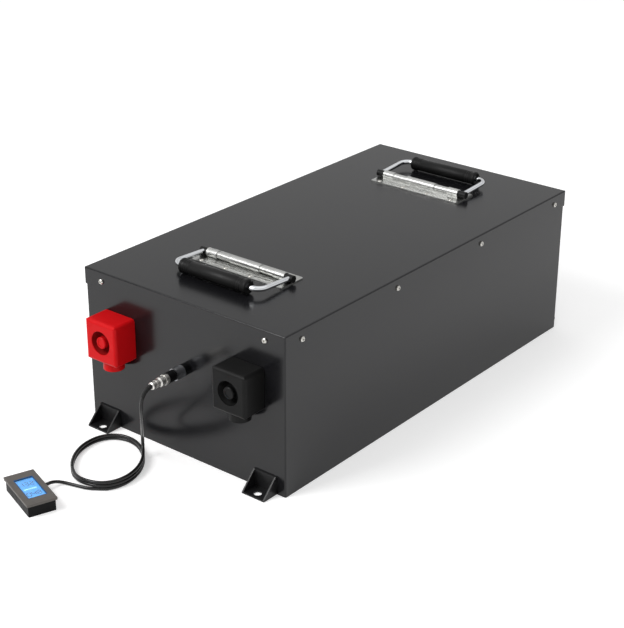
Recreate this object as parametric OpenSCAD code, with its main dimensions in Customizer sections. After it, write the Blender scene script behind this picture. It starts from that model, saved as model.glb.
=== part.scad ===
// Deep cycle battery in a folded steel case: screwed lid, two sprung folding handles, four floor
// brackets, two quick plugs for the power leads, and a small meter on a signal lead.
// Millimetres. Origin: centre of the case underside. X across, Y lengthwise, +Z up; sockets face -Y.

/* [Case] */
// Width of the folded steel case
case_w = 336; // [330:1:420]
// Length of the folded steel case
case_l = 640; // [636:1:780]
// Height over the closed lid
total_h = 220; // [218:1:280]
// Sheet thickness of the case
case_t = 1.5; // [1.2:0.1:2]
// Outer bend radius of the sheet
bend_r = 2; // [1.8:0.1:3]
// Width of the return flange round the mouth of the case
return_w = 14; // [10:1:20]

/* [Lid] */
// Sheet thickness of the lid
lid_t = 1.2; // [1:0.1:2]
// Depth of the turned-down lid flange
lid_skirt = 23.4; // [20:0.2:30]
// Gap between the lid skirt and the case
lid_gap = 0.15; // [0.1:0.05:0.5]
// Thickness of the closed gasket
gasket_t = 1.5; // [1:0.1:3]
// Thread size of the lid screws
screw_d = 4; // [3:0.5:5]
// Distance of the lid screws below the top
screw_drop = 13.2; // [12:0.2:16]
// Distance of the first lid screw from a corner
screw_inset = 31.3; // [24:0.1:40]
// Screws along each long side
side_screws = 4; // [2:1:6]

/* [Floor brackets] */
// Width of a bracket
bracket_w = 36; // [30:1:50]
// How far a bracket reaches out from the case
bracket_reach = 25; // [22:1:40]
// Height of a bracket
bracket_h = 25; // [18:1:40]
// Plate thickness of a bracket
bracket_t = 2; // [1.5:0.5:4]
// Diameter of the floor bolt hole
bracket_hole_d = 10.5; // [6.5:0.5:12]
// Distance of the floor bolt from the case
bracket_hole_y = 15.5; // [12:0.5:20]
// Distance between the bracket centres across the case
bracket_pitch = 272; // [200:1:290]

/* [Handles] */
// Distance of each handle pivot from the middle of the lid
handle_y = 195; // [150:1:230]
// Length of the handle plate
plate_w = 153; // [150:1:180]
// Depth of the handle plate
plate_d = 44.5; // [40:0.5:60]
// Thickness of the handle plate
plate_t = 1.5; // [1:0.1:2]
// Diameter of the bail rod
rod_d = 7; // [6:0.5:8]
// Distance between the side rods of the bail
bail_w = 145; // [143:1:160]
// Distance from the pivot to the grip
bail_reach = 60; // [50:1:80]
// Diameter of the grip
grip_d = 18.6; // [15:0.2:24]
// Length of the grip
grip_l = 112; // [90:1:117]

/* [Power plugs] */
// Distance of each socket from the middle of the front
socket_x = 108.7; // [80:0.1:120]
// Height of the socket axis
socket_z = 140.5; // [100:0.1:150]
// Width of a plug
plug_w = 54; // [50:0.5:64]
// Height of a plug
plug_h = 57.5; // [50:0.5:64]
// Depth of a plug
plug_d = 36; // [33:0.5:45]
// Edge rounding of a plug
plug_r = 4.5; // [1:0.5:6]
// Diameter of the cable outlet
outlet_d = 28; // [24:1:30]
// How far the cable outlet stands out of the plug
outlet_l = 13.8; // [10:0.1:30]
// Bore for the power cable
cable_bore_d = 16; // [15.8:0.2:18]
// Diameter of the release button
button_d = 16; // [14:0.2:18.6]
// Diameter of the recess round the button
recess_d = 32.5; // [26:0.5:36]
// Travel of the release button
button_travel = 3; // [1:0.5:3]

/* [Signal connector] */
// Offset of the signal connector from the middle of the front
signal_x = 7.5; // [-20:0.5:20]
// Height of the signal connector
signal_z = 128; // [110:0.5:140]

/* [Meter] */
// Length of the meter bezel
meter_l = 79; // [70:0.5:90]
// Width of the meter bezel
meter_w = 40; // [36:0.5:50]
// Height of the meter
meter_h = 18; // [16:0.5:26]
// Length of the meter window
window_l = 49.5; // [40:0.5:56]
// Width of the meter window
window_w = 25; // [20:0.5:28]

/* [Cord] */
// Diameter of the signal cord
cord_d = 4.4; // [3:0.1:4.8]

/* [Cells] */
// Thickness of a cell
cell_t = 71.5; // [60:0.5:72]
// Width of a cell
cell_w = 173.7; // [150:0.1:174]
// Height of a cell without its terminals
cell_h = 204; // [160:0.5:205]
// Gap between the cells
cell_gap = 1; // [0.5:0.1:2]

/* [Hidden] */
$fn = 64;
SIDES = ["front", "rear"];
POLES = ["red", "black"];
CORNERS = ["front_left", "front_right", "rear_left", "rear_right"];
HANDLE_PARTS = ["plate", "bail", "grip", "bushes", "springs"];
PLUG_PARTS = ["power_socket", "socket_pin", "latch_ring", "plug", "plug_contact", "release_button",
              "button_spring"];
BANKS = 4;
CELLS_PER_BANK = 3;

eps = 0.01;
fit = 0.3;                                  // air between pieces that move past each other
snug = 0.05;                                // air between a piece and its bush
lid_w = case_w + 2*(lid_gap + lid_t);
lid_l = case_l + 2*(lid_gap + lid_t);
case_h = total_h - lid_t - gasket_t;
inner_w = case_w - 2*case_t;
inner_l = case_l - 2*case_t;
mouth_w = inner_w - 2*return_w;
mouth_l = inner_l - 2*return_w;
screw_z = total_h - screw_drop;
screw_hole_d = screw_d + 0.5;
screw_head_d = 1.8*screw_d;
screw_head_h = 0.65*screw_d;
nut_af = 1.75*screw_d;
nut_h = 0.8*screw_d;
end_screw_x = lid_w/2 - screw_inset;
side_screw_y = lid_l/2 - screw_inset;
side_pitch = 2*side_screw_y/(side_screws - 1);

rod_r = rod_d/2;
pin_clear = 0.08;
roll_r = rod_r + 1.5;
bush_r = rod_r + 1.4;
pivot_h = plate_t + bush_r + 0.4;
bush_l = 12;
barrel_half = bail_w/2 - bush_l/2 - 0.5;    // half length of the rolled barrel between the bushes
barrel_web = 2;
pin_in = 12;                                // the ends of the bail reach this near the middle
corner_r = 13;
grip_bore_r = rod_r + snug;
collar_r = grip_d/2 + 0.7;
collar_l = 4;
grip_floor = 0.3;                           // air under the resting grip
rest_tilt = asin((collar_r + grip_floor - pivot_h)/bail_reach);
rib_l = 110;                                // ribs pressed into the plate
rib_w = 2.5;
rib_h = 1;
rib_y = [-12, 8, 12];
rivet_d = 4;
rivet_head_d = 6.6;
rivet_head_h = 1.4;
rivet_tail_h = 1.5;
rivet_inset = [13.5, 4.75];                 // from the ends and the long edges of the plate

panel_y = -case_l/2;
socket_flange_d = 38;
socket_flange_t = 3;
barrel_d = 28;
barrel_l = 14;
barrel_bore_d = 20;
socket_thread_d = 33.6;
socket_thread_l = 13;
stud_d = 8;
stud_in = 26;
stud_out = 13;
stud_flange_t = 2;
stud_flange_d = 16;
socket_nut_af = 44;
socket_nut_h = 6;
slack = 0.2;                                // air round a piece that rests inside the plug
plug_back = 0.5;                            // running gap between the plug and the panel
plug_front = plug_back + plug_d;
ring_in = 6.3;
ring_t = 4;
ring_d = 36;
ring_slit = 8;
cup_d = 17.2;
contact_d = 24;                             // contact plate and the lug that leads down from it
contact_t = 3;
lug_w = 14;
plate_in = barrel_l + 1.4;
plate_out = plate_in + contact_t;
outlet_axis = 14.7;                         // distance of the cable outlet axis from the panel
crimp_d = 15;
crimp_bore_d = 11;
crimp_top = 19;
crimp_end = 32;
recess_depth = 8;
recess_floor = plug_front - recess_depth;
button_top = plug_front - 0.2;
button_flange_d = button_d + 3.2;
button_flange_t = 1.5;
button_chamfer = 1;
button_dish = 0.6;                          // depth of the dish in its face, and the rim round it
button_rim = 3;
guide_t = 2.5;
button_seat = recess_floor - guide_t - button_flange_t;
spring_wire = 0.8;
spring_turns = 2;

signal_flange = [15.6, 10];                 // diameter and length of each round piece on the lead
ring_size = [16.4, 13.7];
body_size = [14.4, 12.2];
shell_size = [12.7, 20.5];
clamp_size = [10, 8];
boot_d = [6.8, 5.4];
ring_at = signal_flange[1] + 0.3;
body_at = ring_at + ring_size[1] + 0.3;
shell_at = body_at + body_size[1];
clamp_at = shell_at + shell_size[1];
boot_at = clamp_at + clamp_size[1];
signal_thread_d = 11.8;
signal_hole_d = 12.2;
signal_thread_in = 12;
signal_bore_d = 9;
socket_bore_z = 12;
signal_nut_af = 14;
signal_nut_h = 3;
signal_pin = [1, 8];                        // diameter and length of a contact pin
signal_pin_r = 2.4;                         // radius of the ring of pins
ring_cuts = 24;                             // grooves round the coupling ring
ring_cut_d = 1;
ring_rim = 2;                               // plain rim at each end of the grooves
shell_neck = 7;                             // length of the narrow end of the shell
shell_band = [1, 3];                        // extra diameter and width of the band round the shell

meter_turn = -20;
bezel_t = 3;
meter_wall = 1.5;
meter_case_l = meter_l - 4;
meter_case_w = meter_w - 4;
meter_case_h = meter_h - bezel_t;
display_t = 2.6;
display_lap = 1.5;                          // how far the display runs under the bezel
window_sunk = 1;
meter_board_t = 1.6;
board_gap = 0.2;                            // air between the board and the walls
meter_chip = [12, 10];
meter_chip_x = 18;
grommet_s = -12;                            // place of the cord outlet along the meter
grommet_z = 8;
grommet_l = 5;
grommet_d = 6.4;
grommet_hole_d = cord_d + 1;

tray_wall = 4;
tray_floor = 2;
cells_across = BANKS*cell_t + (BANKS - 1)*cell_gap;
cells_along = CELLS_PER_BANK*cell_w + (CELLS_PER_BANK - 1)*cell_gap;
cell_z = case_t + tray_floor;
tray_end_gap = 3;
tray_gap = 0.4;                             // air between the tray and the case
tray_drop = 14;                             // how far the tray ends below the tops of the cells
cell_play = 0.2;                            // air between the cells and the tray
cell_r = 3;
cells_y1 = inner_l/2 - tray_wall - tray_end_gap; // rear face of the cells
cells_y0 = cells_y1 - cells_along;          // front face of the cells
terminal_d = 18;
terminal_h = 2.6;
terminal_off = 0.345*cell_w;
bar_t = 2;
bar_z = cell_z + cell_h + terminal_h;
bar_side = 12;                              // from the middle of a bank to the edge of a strip
bar_tab_w = 16;
bar_inset = 2;
heatsink = [160, 16, 120];
board = [160, 1.6, 120];
bms_y = cells_y0 - tray_wall - heatsink[1]; // front face of the heatsink
bms_z = 45;
lead_d = 12;

cord_r = cord_d/2;
cord_sides = 8;
FACING = [0.78, 0.626, 0];                  // square to the plane that the cord falls in
// From the clamp nut of the plug: the boot bends the cord downwards
DROP = [[0, -0.5, 0], [0, -3, -0.2], [-0.1, -7, -1.7], [-0.4, -10.8, -4.8], [-0.8, -13.8, -9.4],
        [-1.4, -15.6, -15.4], [-2.6, -15.6, -23]];
// The fall: across, out from the panel, and height as a share of the height of the connector
FALL = [[1.4, -77.3, 0.738], [-4.6, -71.4, 0.641], [-11.6, -64.4, 0.543], [-19.2, -56.9, 0.449],
        [-26.6, -49.7, 0.363], [-33, -43.6, 0.298]];
// From the coil to the meter: across, out from the panel, and height over the ground
TAIL = [[-34, -138.9, 0], [-45.8, -143, 0], [-58.2, -146.4, 0.1], [-67.6, -150.4, 1],
        [-72.6, -157, 3.2], [-73.7, -165, 5.4]];
meter_at = [-72, panel_y - 200];
coil_at = [-60.6, panel_y - 80];
coil_turn = 38.75;                          // direction of the short axis of the coil
coil_a = 44.8;                              // half widths of the coil: short way, long way
coil_b = 64.2;
coil_pitch = 1.02*cord_d;                   // the turns lie on one another
coil_from = -10;
coil_to = 805;
landing_r = 12;                             // bend where the cord comes down on the coil
LANDING = [130, 104, 78, 52, 26];
COIL = concat([coil_from, -3, 6, 18], [for (i = [0:47]) 32 + 16*i], [797, coil_to]);
boot_rings = 9;
drop_rings = 1 + 2*(len(DROP) + len(FALL) + len(LANDING));
coil_rings = drop_rings + 2*(len(COIL) - 1);

function pole_x(p) = p == "red" ? -socket_x : socket_x;
function side_of(s) = s == "front" ? -1 : 1;

// ---------- helpers ----------
module rounded_rect(w, h, r) {
    square([w - 2*r, h], center = true);
    square([w, h - 2*r], center = true);
    for (x = [-1, 1]) for (y = [-1, 1]) translate([x*(w/2 - r), y*(h/2 - r)]) circle(r);
}

module top_rounded_rect(w, h, r) {
    translate([-w/2, 0]) square([w, h - r]);
    translate([-w/2 + r, 0]) square([w - 2*r, h]);
    for (x = [-1, 1]) translate([x*(w/2 - r), h - r]) circle(r);
}

// A box on z = 0, rounded by r at its upright edges and by top_r round its top
module capped_box(w, d, h, r, top_r) {
    intersection() {
        linear_extrude(h) rounded_rect(w, d, r);
        translate([0, d/2, 0]) rotate([90, 0, 0]) linear_extrude(d) top_rounded_rect(w, h, top_r);
        translate([-w/2, 0, 0]) rotate([90, 0, 90]) linear_extrude(w) top_rounded_rect(d, h, top_r);
    }
}

module tube(outer_d, inner_d, h) {
    difference() {
        cylinder(d = outer_d, h = h);
        translate([0, 0, -1]) cylinder(d = inner_d, h = h + 2);
    }
}

module along_x(x0, x1) {
    translate([x0, 0, 0]) rotate([0, 90, 0]) linear_extrude(x1 - x0) children();
}

// Local +Z points out of the front panel, local +Y up
module on_panel(x, z) {
    translate([x, panel_y, z]) rotate([90, 0, 0]) children();
}

// Local +Y points out over the end of the case, local z = 0 is the top of the lid
module at_handle(side) {
    translate([0, side*handle_y, total_h]) rotate([0, 0, side > 0 ? 0 : 180]) children();
}

module at_pivot(side) {
    at_handle(side) translate([0, 0, pivot_h]) rotate([rest_tilt, 0, 0]) children();
}

module at_meter() {
    translate([meter_at[0], meter_at[1], 0]) rotate([0, 0, meter_turn]) children();
}

// Places of the lid screws: position and direction of the outward normal
module at_lid_screws() {
    for (end = [-1, 1]) for (x = [-1, 1])
        translate([x*end_screw_x, end*lid_l/2, screw_z]) rotate([0, 0, end*90]) rotate([0, 90, 0])
            children();
    for (side = [-1, 1]) for (i = [0:side_screws - 1])
        translate([side*lid_w/2, -side_screw_y + i*side_pitch, screw_z])
            rotate([0, 0, side > 0 ? 0 : 180]) rotate([0, 90, 0]) children();
}

module at_rivets() {
    for (k = [-1, -1/3, 1/3, 1]) for (y = [-1, 1])
        translate([k*(plate_w/2 - rivet_inset[0]), y*(plate_d/2 - rivet_inset[1]), 0]) children();
}

// ---------- swept tubes ----------
function catmull(p, i, t) =
    let (a = p[max(i - 1, 0)], b = p[i], c = p[i + 1], d = p[min(i + 2, len(p) - 1)])
    0.5*(2*b + (c - a)*t + (2*a - 5*b + 4*c - d)*t*t + (3*b - a - 3*c + d)*t*t*t);
function smooth_route(p, n) =
    concat([for (i = [0:len(p) - 2]) for (k = [0:n - 1]) catmull(p, i, k/n)], [p[len(p) - 1]]);
function unit(v) = v/norm(v);
function tangent(p, i) = unit(p[min(i + 1, len(p) - 1)] - p[max(i - 1, 0)]);

// A closed tube along the part of a route from point a to point b; r is one radius or a list of
// them, and side is a direction that this part of the route never runs along
module sweep(route, r, sides, side, a, b) {
    n = b - a + 1;
    points = [for (i = [a:b]) let (t = tangent(route, i), u = unit(cross(t, side)), v = cross(t, u),
                                   size = is_list(r) ? r[i - a] : r)
              for (k = [0:sides - 1]) route[i] + size*(cos(k*360/sides)*u + sin(k*360/sides)*v)];
    walls = [for (i = [0:n - 2]) for (k = [0:sides - 1]) let (m = (k + 1) % sides)
             [i*sides + k, (i + 1)*sides + k, (i + 1)*sides + m, i*sides + m]];
    first = [for (k = [0:sides - 1]) k];
    last = [for (k = [sides - 1:-1:0]) (n - 1)*sides + k];
    polyhedron(points = points, faces = concat([first], walls, [last]), convexity = 10);
}

function helix(r, pitch, turns, steps) =
    [for (i = [0:turns*steps]) [r*cos(i*360/steps), r*sin(i*360/steps), pitch*i/steps]];

// ---------- route of the cord ----------
function ease(v, a, b) = let (t = min(max((v - a)/(b - a), 0), 1)) t*t*(3 - 2*t);
// The turns are stacked: the third layer and then the second step down at the near end
function layer(t) = 3 - ease(t, 105, 160) - ease(t, 465, 520);
function coil_point(t) =
    let (x = coil_a*cos(t), y = coil_b*sin(t))
    [coil_at[0] + x*cos(coil_turn) + y*sin(coil_turn),
     coil_at[1] + x*sin(coil_turn) - y*cos(coil_turn), coil_pitch*(layer(t) - 0.5)];
function landing_point(t) =
    let (p = coil_point(coil_from), u = unit(coil_point(coil_from + 1) - p))
    p - landing_r*sin(t)*u + [0, 0, landing_r*(1 - cos(t))];
// A place on the axis of the grommet, out from its end
function grommet_point(out) =
    let (x = grommet_s, y = meter_case_w/2 + grommet_l + out)
    [meter_at[0] + x*cos(meter_turn) - y*sin(meter_turn),
     meter_at[1] + x*sin(meter_turn) + y*cos(meter_turn), grommet_z];
clamp_end = [signal_x, panel_y - boot_at, signal_z];
// Both ends run straight, square to the faces that they meet
ROUTE = concat([clamp_end], smooth_route(concat(
    [for (p = DROP) clamp_end + p],
    [for (p = FALL) [p[0], panel_y + p[1], p[2]*signal_z]],
    [for (t = LANDING) landing_point(t)],
    [for (t = COIL) coil_point(t)],
    [for (p = TAIL) [p[0], panel_y + p[1], p[2] + coil_pitch/2]],
    [grommet_point(4), grommet_point(0.5)]), 2), [grommet_point(0)]);

// ---------- case ----------
module case_body() {
    color("#232427")
    difference() {
        linear_extrude(case_h) rounded_rect(case_w, case_l, bend_r);
        translate([-inner_w/2, -inner_l/2, case_t]) cube([inner_w, inner_l, case_h - 2*case_t]);
        translate([-mouth_w/2, -mouth_l/2, case_t]) cube([mouth_w, mouth_l, case_h]);
        for (p = POLES) on_panel(pole_x(p), socket_z) translate([0, 0, -2*case_t])
            cylinder(d = socket_thread_d + 0.4, h = 3*case_t);
        on_panel(signal_x, signal_z) translate([0, 0, -2*case_t])
            cylinder(d = signal_hole_d, h = 3*case_t);
        at_lid_screws() translate([0, 0, -3*case_t]) cylinder(d = screw_hole_d, h = 4*case_t);
    }
}

module lid() {
    color("#232427")
    difference() {
        translate([0, 0, total_h - lid_skirt]) capped_box(lid_w, lid_l, lid_skirt, bend_r, bend_r);
        translate([-lid_w/2 + lid_t, -lid_l/2 + lid_t, total_h - lid_skirt - 1])
            cube([lid_w - 2*lid_t, lid_l - 2*lid_t, lid_skirt - lid_t + 1]);
        at_lid_screws() translate([0, 0, -2*lid_t]) cylinder(d = screw_hole_d, h = 3*lid_t);
        for (s = SIDES) at_handle(side_of(s)) at_rivets() translate([0, 0, -2*lid_t])
            cylinder(d = rivet_d, h = 3*lid_t);
    }
}

module lid_gasket() {
    color("#101010")
    translate([0, 0, case_h]) linear_extrude(gasket_t) difference() {
        square([case_w - 6, case_l - 6], center = true);
        square([mouth_w, mouth_l], center = true);
    }
}

module lid_screws() {
    color("#d8d8d8")
    at_lid_screws() difference() {
        union() {
            cylinder(d = screw_head_d, h = 0.6*screw_head_h);
            translate([0, 0, 0.6*screw_head_h])
                cylinder(d1 = screw_head_d, d2 = 0.7*screw_head_d, h = 0.4*screw_head_h);
            translate([0, 0, -lid_t - lid_gap - case_t - nut_h - 1])
                cylinder(d = screw_d, h = lid_t + lid_gap + case_t + nut_h + 1);
        }
        for (turn = [0, 90]) rotate([0, 0, turn]) translate([0, 0, screw_head_h])
            cube([0.55*screw_head_d, 0.12*screw_head_d, screw_head_h], center = true);
    }
}

module weld_nuts() {
    color("#a0a3a6")
    at_lid_screws() translate([0, 0, -lid_t - lid_gap - case_t - nut_h]) difference() {
        cylinder(d = nut_af/cos(30), h = nut_h, $fn = 6);
        translate([0, 0, -1]) cylinder(d = screw_d + 2*snug, h = nut_h + 2);
    }
}

// ---------- floor brackets ----------
module bracket(corner) {
    side = corner < 2 ? -1 : 1;
    x = corner % 2 == 0 ? -1 : 1;
    color("#1b1b1d")
    translate([x*bracket_pitch/2, side*case_l/2, 0]) rotate([0, 0, side > 0 ? 0 : 180])
    difference() {
        union() {
            translate([-bracket_w/2, 0, 0]) cube([bracket_w, bracket_reach, bracket_t]);
            translate([-bracket_w/2, 0, 0]) cube([bracket_w, bracket_t, bracket_h]);
            for (gx = [-bracket_w/2, bracket_w/2 - bracket_t]) translate([gx, 0, 0])
                rotate([90, 0, 90]) linear_extrude(bracket_t)
                    polygon([[0, 0], [bracket_reach, 0], [bracket_reach, bracket_t],
                             [bracket_t, bracket_h], [0, bracket_h]]);
        }
        translate([0, bracket_hole_y, -1]) cylinder(d = bracket_hole_d, h = bracket_t + 2);
    }
}

// ---------- handles ----------
module handle_plate(side) {
    color("#c9ccd0")
    at_handle(side) difference() {
        union() {
            linear_extrude(plate_t) rounded_rect(plate_w, plate_d, 3);
            translate([0, 0, pivot_h]) along_x(-barrel_half, barrel_half) circle(roll_r);
            translate([-barrel_half, -roll_r, plate_t - eps])
                cube([2*barrel_half, barrel_web, pivot_h - plate_t]);
            for (y = rib_y) translate([-rib_l/2, y - rib_w/2, plate_t - eps])
                cube([rib_l, rib_w, rib_h]);
        }
        translate([0, 0, pivot_h]) along_x(-plate_w, plate_w) circle(rod_r + pin_clear);
        at_rivets() translate([0, 0, -1]) cylinder(d = rivet_d, h = plate_t + 2);
    }
}

module handle_bail(side) {
    straight = bail_w/2 - corner_r;
    color("#d4d6da")
    at_pivot(side) {
        for (x = [-1, 1]) {
            translate([x*bail_w/2, 0, 0]) sphere(rod_r);
            along_x(x > 0 ? pin_in : -bail_w/2, x > 0 ? bail_w/2 : -pin_in) circle(rod_r);
            translate([x*bail_w/2, 0, 0]) rotate([-90, 0, 0])
                cylinder(r = rod_r, h = bail_reach - corner_r);
            translate([x*straight, bail_reach - corner_r, 0]) rotate([0, 0, x > 0 ? 0 : 90])
                rotate_extrude(angle = 90) translate([corner_r, 0]) circle(rod_r);
        }
        translate([0, bail_reach, 0]) along_x(-straight, straight) circle(rod_r);
    }
}

module handle_grip(side) {
    color("#141414")
    at_pivot(side) translate([0, bail_reach, 0]) difference() {
        union() {
            along_x(-grip_l/2, grip_l/2) circle(d = grip_d);
            for (x = [-grip_l/2, grip_l/2 - collar_l]) along_x(x, x + collar_l) circle(collar_r);
        }
        along_x(-grip_l, grip_l) circle(grip_bore_r);
    }
}

module handle_bushes(side) {
    color("#0e0e0e")
    at_pivot(side) for (x = [-1, 1]) difference() {
        along_x(x*bail_w/2 - bush_l/2, x*bail_w/2 + bush_l/2) circle(bush_r);
        translate([x*bail_w/2, 0, 0]) sphere(rod_r + snug);
        along_x(x > 0 ? 0 : -bail_w/2, x > 0 ? bail_w/2 : 0) circle(rod_r + snug);
        translate([x*bail_w/2, 0, 0]) rotate([-90, 0, 0]) cylinder(r = rod_r + snug, h = bush_l);
    }
}

// A torsion spring inside the barrel, between the two ends of the bail
module handle_springs(side) {
    wire = 1.2;
    room = 2*pin_in - 2*snug;
    turns = 8;
    route = helix(rod_r - wire/2 - fit, (room - wire)/turns, turns, 12);
    color("#8d9094")
    at_handle(side) translate([-pin_in + snug + wire/2, 0, pivot_h]) rotate([0, 90, 0])
        sweep(route, wire/2, 6, [0, 0, 1], 0, len(route) - 1);
}

module handle_rivets() {
    color("#e0e0e0")
    for (s = SIDES) at_handle(side_of(s)) at_rivets() {
        translate([0, 0, -lid_t - rivet_tail_h]) cylinder(d = rivet_d + 2, h = rivet_tail_h);
        translate([0, 0, -lid_t]) cylinder(d = rivet_d, h = lid_t + plate_t);
        translate([0, 0, plate_t]) cylinder(d1 = rivet_head_d, d2 = 0.6*rivet_head_d, h = rivet_head_h);
    }
}

// ---------- power sockets and plugs ----------
module power_socket(pole) {
    color(pole == "red" ? "#8c1416" : "#161616")
    on_panel(pole_x(pole), socket_z) difference() {
        union() {
            cylinder(d = socket_flange_d, h = socket_flange_t);
            cylinder(d = barrel_d, h = barrel_l);
            translate([0, 0, -socket_thread_l]) cylinder(d = socket_thread_d, h = socket_thread_l);
        }
        translate([0, 0, socket_flange_t]) cylinder(d = barrel_bore_d, h = barrel_l);
        translate([0, 0, -stud_in]) cylinder(d = stud_d + 2*snug, h = 2*stud_in);
    }
}

module socket_pin(pole) {
    color("#c8b27a")
    on_panel(pole_x(pole), socket_z) {
        translate([0, 0, -stud_in]) cylinder(d = stud_d, h = stud_in + stud_out);
        translate([0, 0, -socket_thread_l - stud_flange_t])
            cylinder(d = stud_flange_d, h = stud_flange_t);
    }
}

module socket_nuts() {
    color("#202020")
    for (p = POLES) on_panel(pole_x(p), socket_z) translate([0, 0, -case_t - socket_nut_h])
    difference() {
        cylinder(d = socket_nut_af/cos(30), h = socket_nut_h, $fn = 6);
        translate([0, 0, -1]) cylinder(d = socket_thread_d + 2*snug, h = socket_nut_h + 2);
    }
}

module latch_ring(pole) {
    color("#b9bcc0")
    on_panel(pole_x(pole), socket_z) translate([0, 0, ring_in]) difference() {
        tube(ring_d, barrel_d + 2*fit, ring_t);
        translate([-ring_slit/2, 0, -1]) cube([ring_slit, ring_d, ring_t + 2]);
    }
}

// The hollow of the plug: socket flange, latch ring, barrel, contact plate, button and cable
module plug_hollow() {
    translate([0, 0, -1]) cylinder(d = socket_flange_d + 4*slack, h = socket_flange_t + 1 + 3*fit);
    cylinder(d = barrel_d + 2*fit + slack, h = plate_in - slack);
    translate([0, 0, ring_in - fit]) cylinder(d = ring_d + 2*fit, h = ring_t + 2*fit);
    translate([0, 0, plate_in - fit]) cylinder(d = contact_d + 2*slack, h = contact_t + 2*fit);
    translate([-lug_w/2 - slack, -crimp_top - 1, plate_in - slack])
        cube([lug_w + 2*slack, crimp_top + 1, contact_t + 2*slack]);
    cylinder(d = button_flange_d + 2*fit, h = button_seat + button_flange_t + slack);
    cylinder(d = button_d + 2*fit, h = plug_front + 1);
    translate([0, 0, recess_floor]) cylinder(d = recess_d, h = recess_depth + 1);
    translate([0, -crimp_top + slack, outlet_axis]) rotate([90, 0, 0])
        cylinder(d = crimp_d + 2*fit, h = crimp_end - crimp_top + fit + slack);
    translate([0, -crimp_end - fit, outlet_axis]) rotate([90, 0, 0])
        cylinder(d = cable_bore_d, h = plug_h/2 + outlet_l);
}

module plug(pole) {
    color(pole == "red" ? "#d81f26" : "#1a1a1b")
    on_panel(pole_x(pole), socket_z) difference() {
        union() {
            translate([0, 0, plug_back]) capped_box(plug_w, plug_h, plug_d, plug_r, plug_r);
            translate([0, 0, outlet_axis]) rotate([90, 0, 0])
                cylinder(d = outlet_d, h = plug_h/2 + outlet_l);
        }
        plug_hollow();
    }
}

module plug_contact(pole) {
    color("#b8763c")
    on_panel(pole_x(pole), socket_z) difference() {
        union() {
            translate([0, 0, socket_flange_t + 2*fit])
                cylinder(d = cup_d, h = plate_out - socket_flange_t - 2*fit);
            translate([0, 0, plate_in]) cylinder(d = contact_d, h = contact_t);
            translate([-lug_w/2, -crimp_top - 0.5, plate_in])
                cube([lug_w, crimp_top + 0.5, contact_t]);
            translate([0, -crimp_top, outlet_axis]) rotate([90, 0, 0])
                cylinder(d = crimp_d, h = crimp_end - crimp_top);
        }
        translate([0, 0, -1]) cylinder(d = stud_d + 2*snug, h = stud_out + 2);
        translate([0, -crimp_top - 2, outlet_axis]) rotate([90, 0, 0])
            cylinder(d = crimp_bore_d, h = crimp_end);
    }
}

module release_button(pole) {
    color(pole == "red" ? "#e0282e" : "#1f1f20")
    on_panel(pole_x(pole), socket_z) difference() {
        union() {
            translate([0, 0, button_seat]) cylinder(d = button_flange_d, h = button_flange_t);
            translate([0, 0, button_seat]) cylinder(d = button_d,
                                                        h = button_top - button_seat - button_chamfer);
            translate([0, 0, button_top - button_chamfer])
                cylinder(d1 = button_d, d2 = button_d - 2*button_chamfer, h = button_chamfer);
        }
        translate([0, 0, button_top - button_dish]) cylinder(d = button_d - 2*button_rim, h = 2);
    }
}

module button_spring(pole) {
    room = button_seat - plate_out - 2*snug;
    route = helix(button_flange_d/2 - 1.6, (room - spring_wire)/spring_turns, spring_turns, 16);
    color("#9a9da1")
    on_panel(pole_x(pole), socket_z) translate([0, 0, plate_out + snug + spring_wire/2])
        sweep(route, spring_wire/2, 6, [0, 0, 1], 0, len(route) - 1);
}

// ---------- signal connector ----------
module signal_socket() {
    color("#1c1c1e")
    on_panel(signal_x, signal_z) difference() {
        union() {
            cylinder(d = signal_flange[0], h = signal_flange[1]);
            translate([0, 0, -signal_thread_in])
                cylinder(d = signal_thread_d, h = signal_thread_in + body_at - 2*slack);
        }
        translate([0, 0, socket_bore_z]) cylinder(d = signal_bore_d, h = body_at);
    }
    color("#c8b27a")
    on_panel(signal_x, signal_z) for (turn = [0:90:270]) rotate([0, 0, turn])
        translate([signal_pin_r, 0, socket_bore_z - eps])
            cylinder(d = signal_pin[0], h = signal_pin[1]);
}

module signal_nut() {
    color("#a9acb0")
    on_panel(signal_x, signal_z) translate([0, 0, -case_t - signal_nut_h])
    difference() {
        cylinder(d = signal_nut_af/cos(30), h = signal_nut_h, $fn = 6);
        translate([0, 0, -1]) cylinder(d = signal_thread_d + 2*snug, h = signal_nut_h + 2);
    }
}

module coupling_ring() {
    color("#3a3c40")
    on_panel(signal_x, signal_z) translate([0, 0, ring_at]) difference() {
        cylinder(d = ring_size[0], h = ring_size[1]);
        translate([0, 0, -1]) cylinder(d = signal_thread_d + 2*pin_clear, h = ring_size[1] + 2);
        for (i = [0:ring_cuts - 1]) rotate([0, 0, i*360/ring_cuts])
            translate([ring_size[0]/2 + 0.15*ring_cut_d, 0, ring_rim])
                cylinder(d = ring_cut_d, h = ring_size[1] - 2*ring_rim);
    }
}

module signal_plug_body() {
    color("#151517")
    on_panel(signal_x, signal_z) difference() {
        union() {
            translate([0, 0, body_at]) cylinder(d = body_size[0], h = body_size[1]);
            translate([0, 0, socket_bore_z + 1]) cylinder(d = signal_bore_d - 2*fit,
                                                          h = body_at - socket_bore_z);
        }
        for (turn = [0:90:270]) rotate([0, 0, turn]) translate([signal_pin_r, 0, socket_bore_z])
            cylinder(d = signal_pin[0] + fit, h = signal_pin[1] + 1);
    }
}

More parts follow.
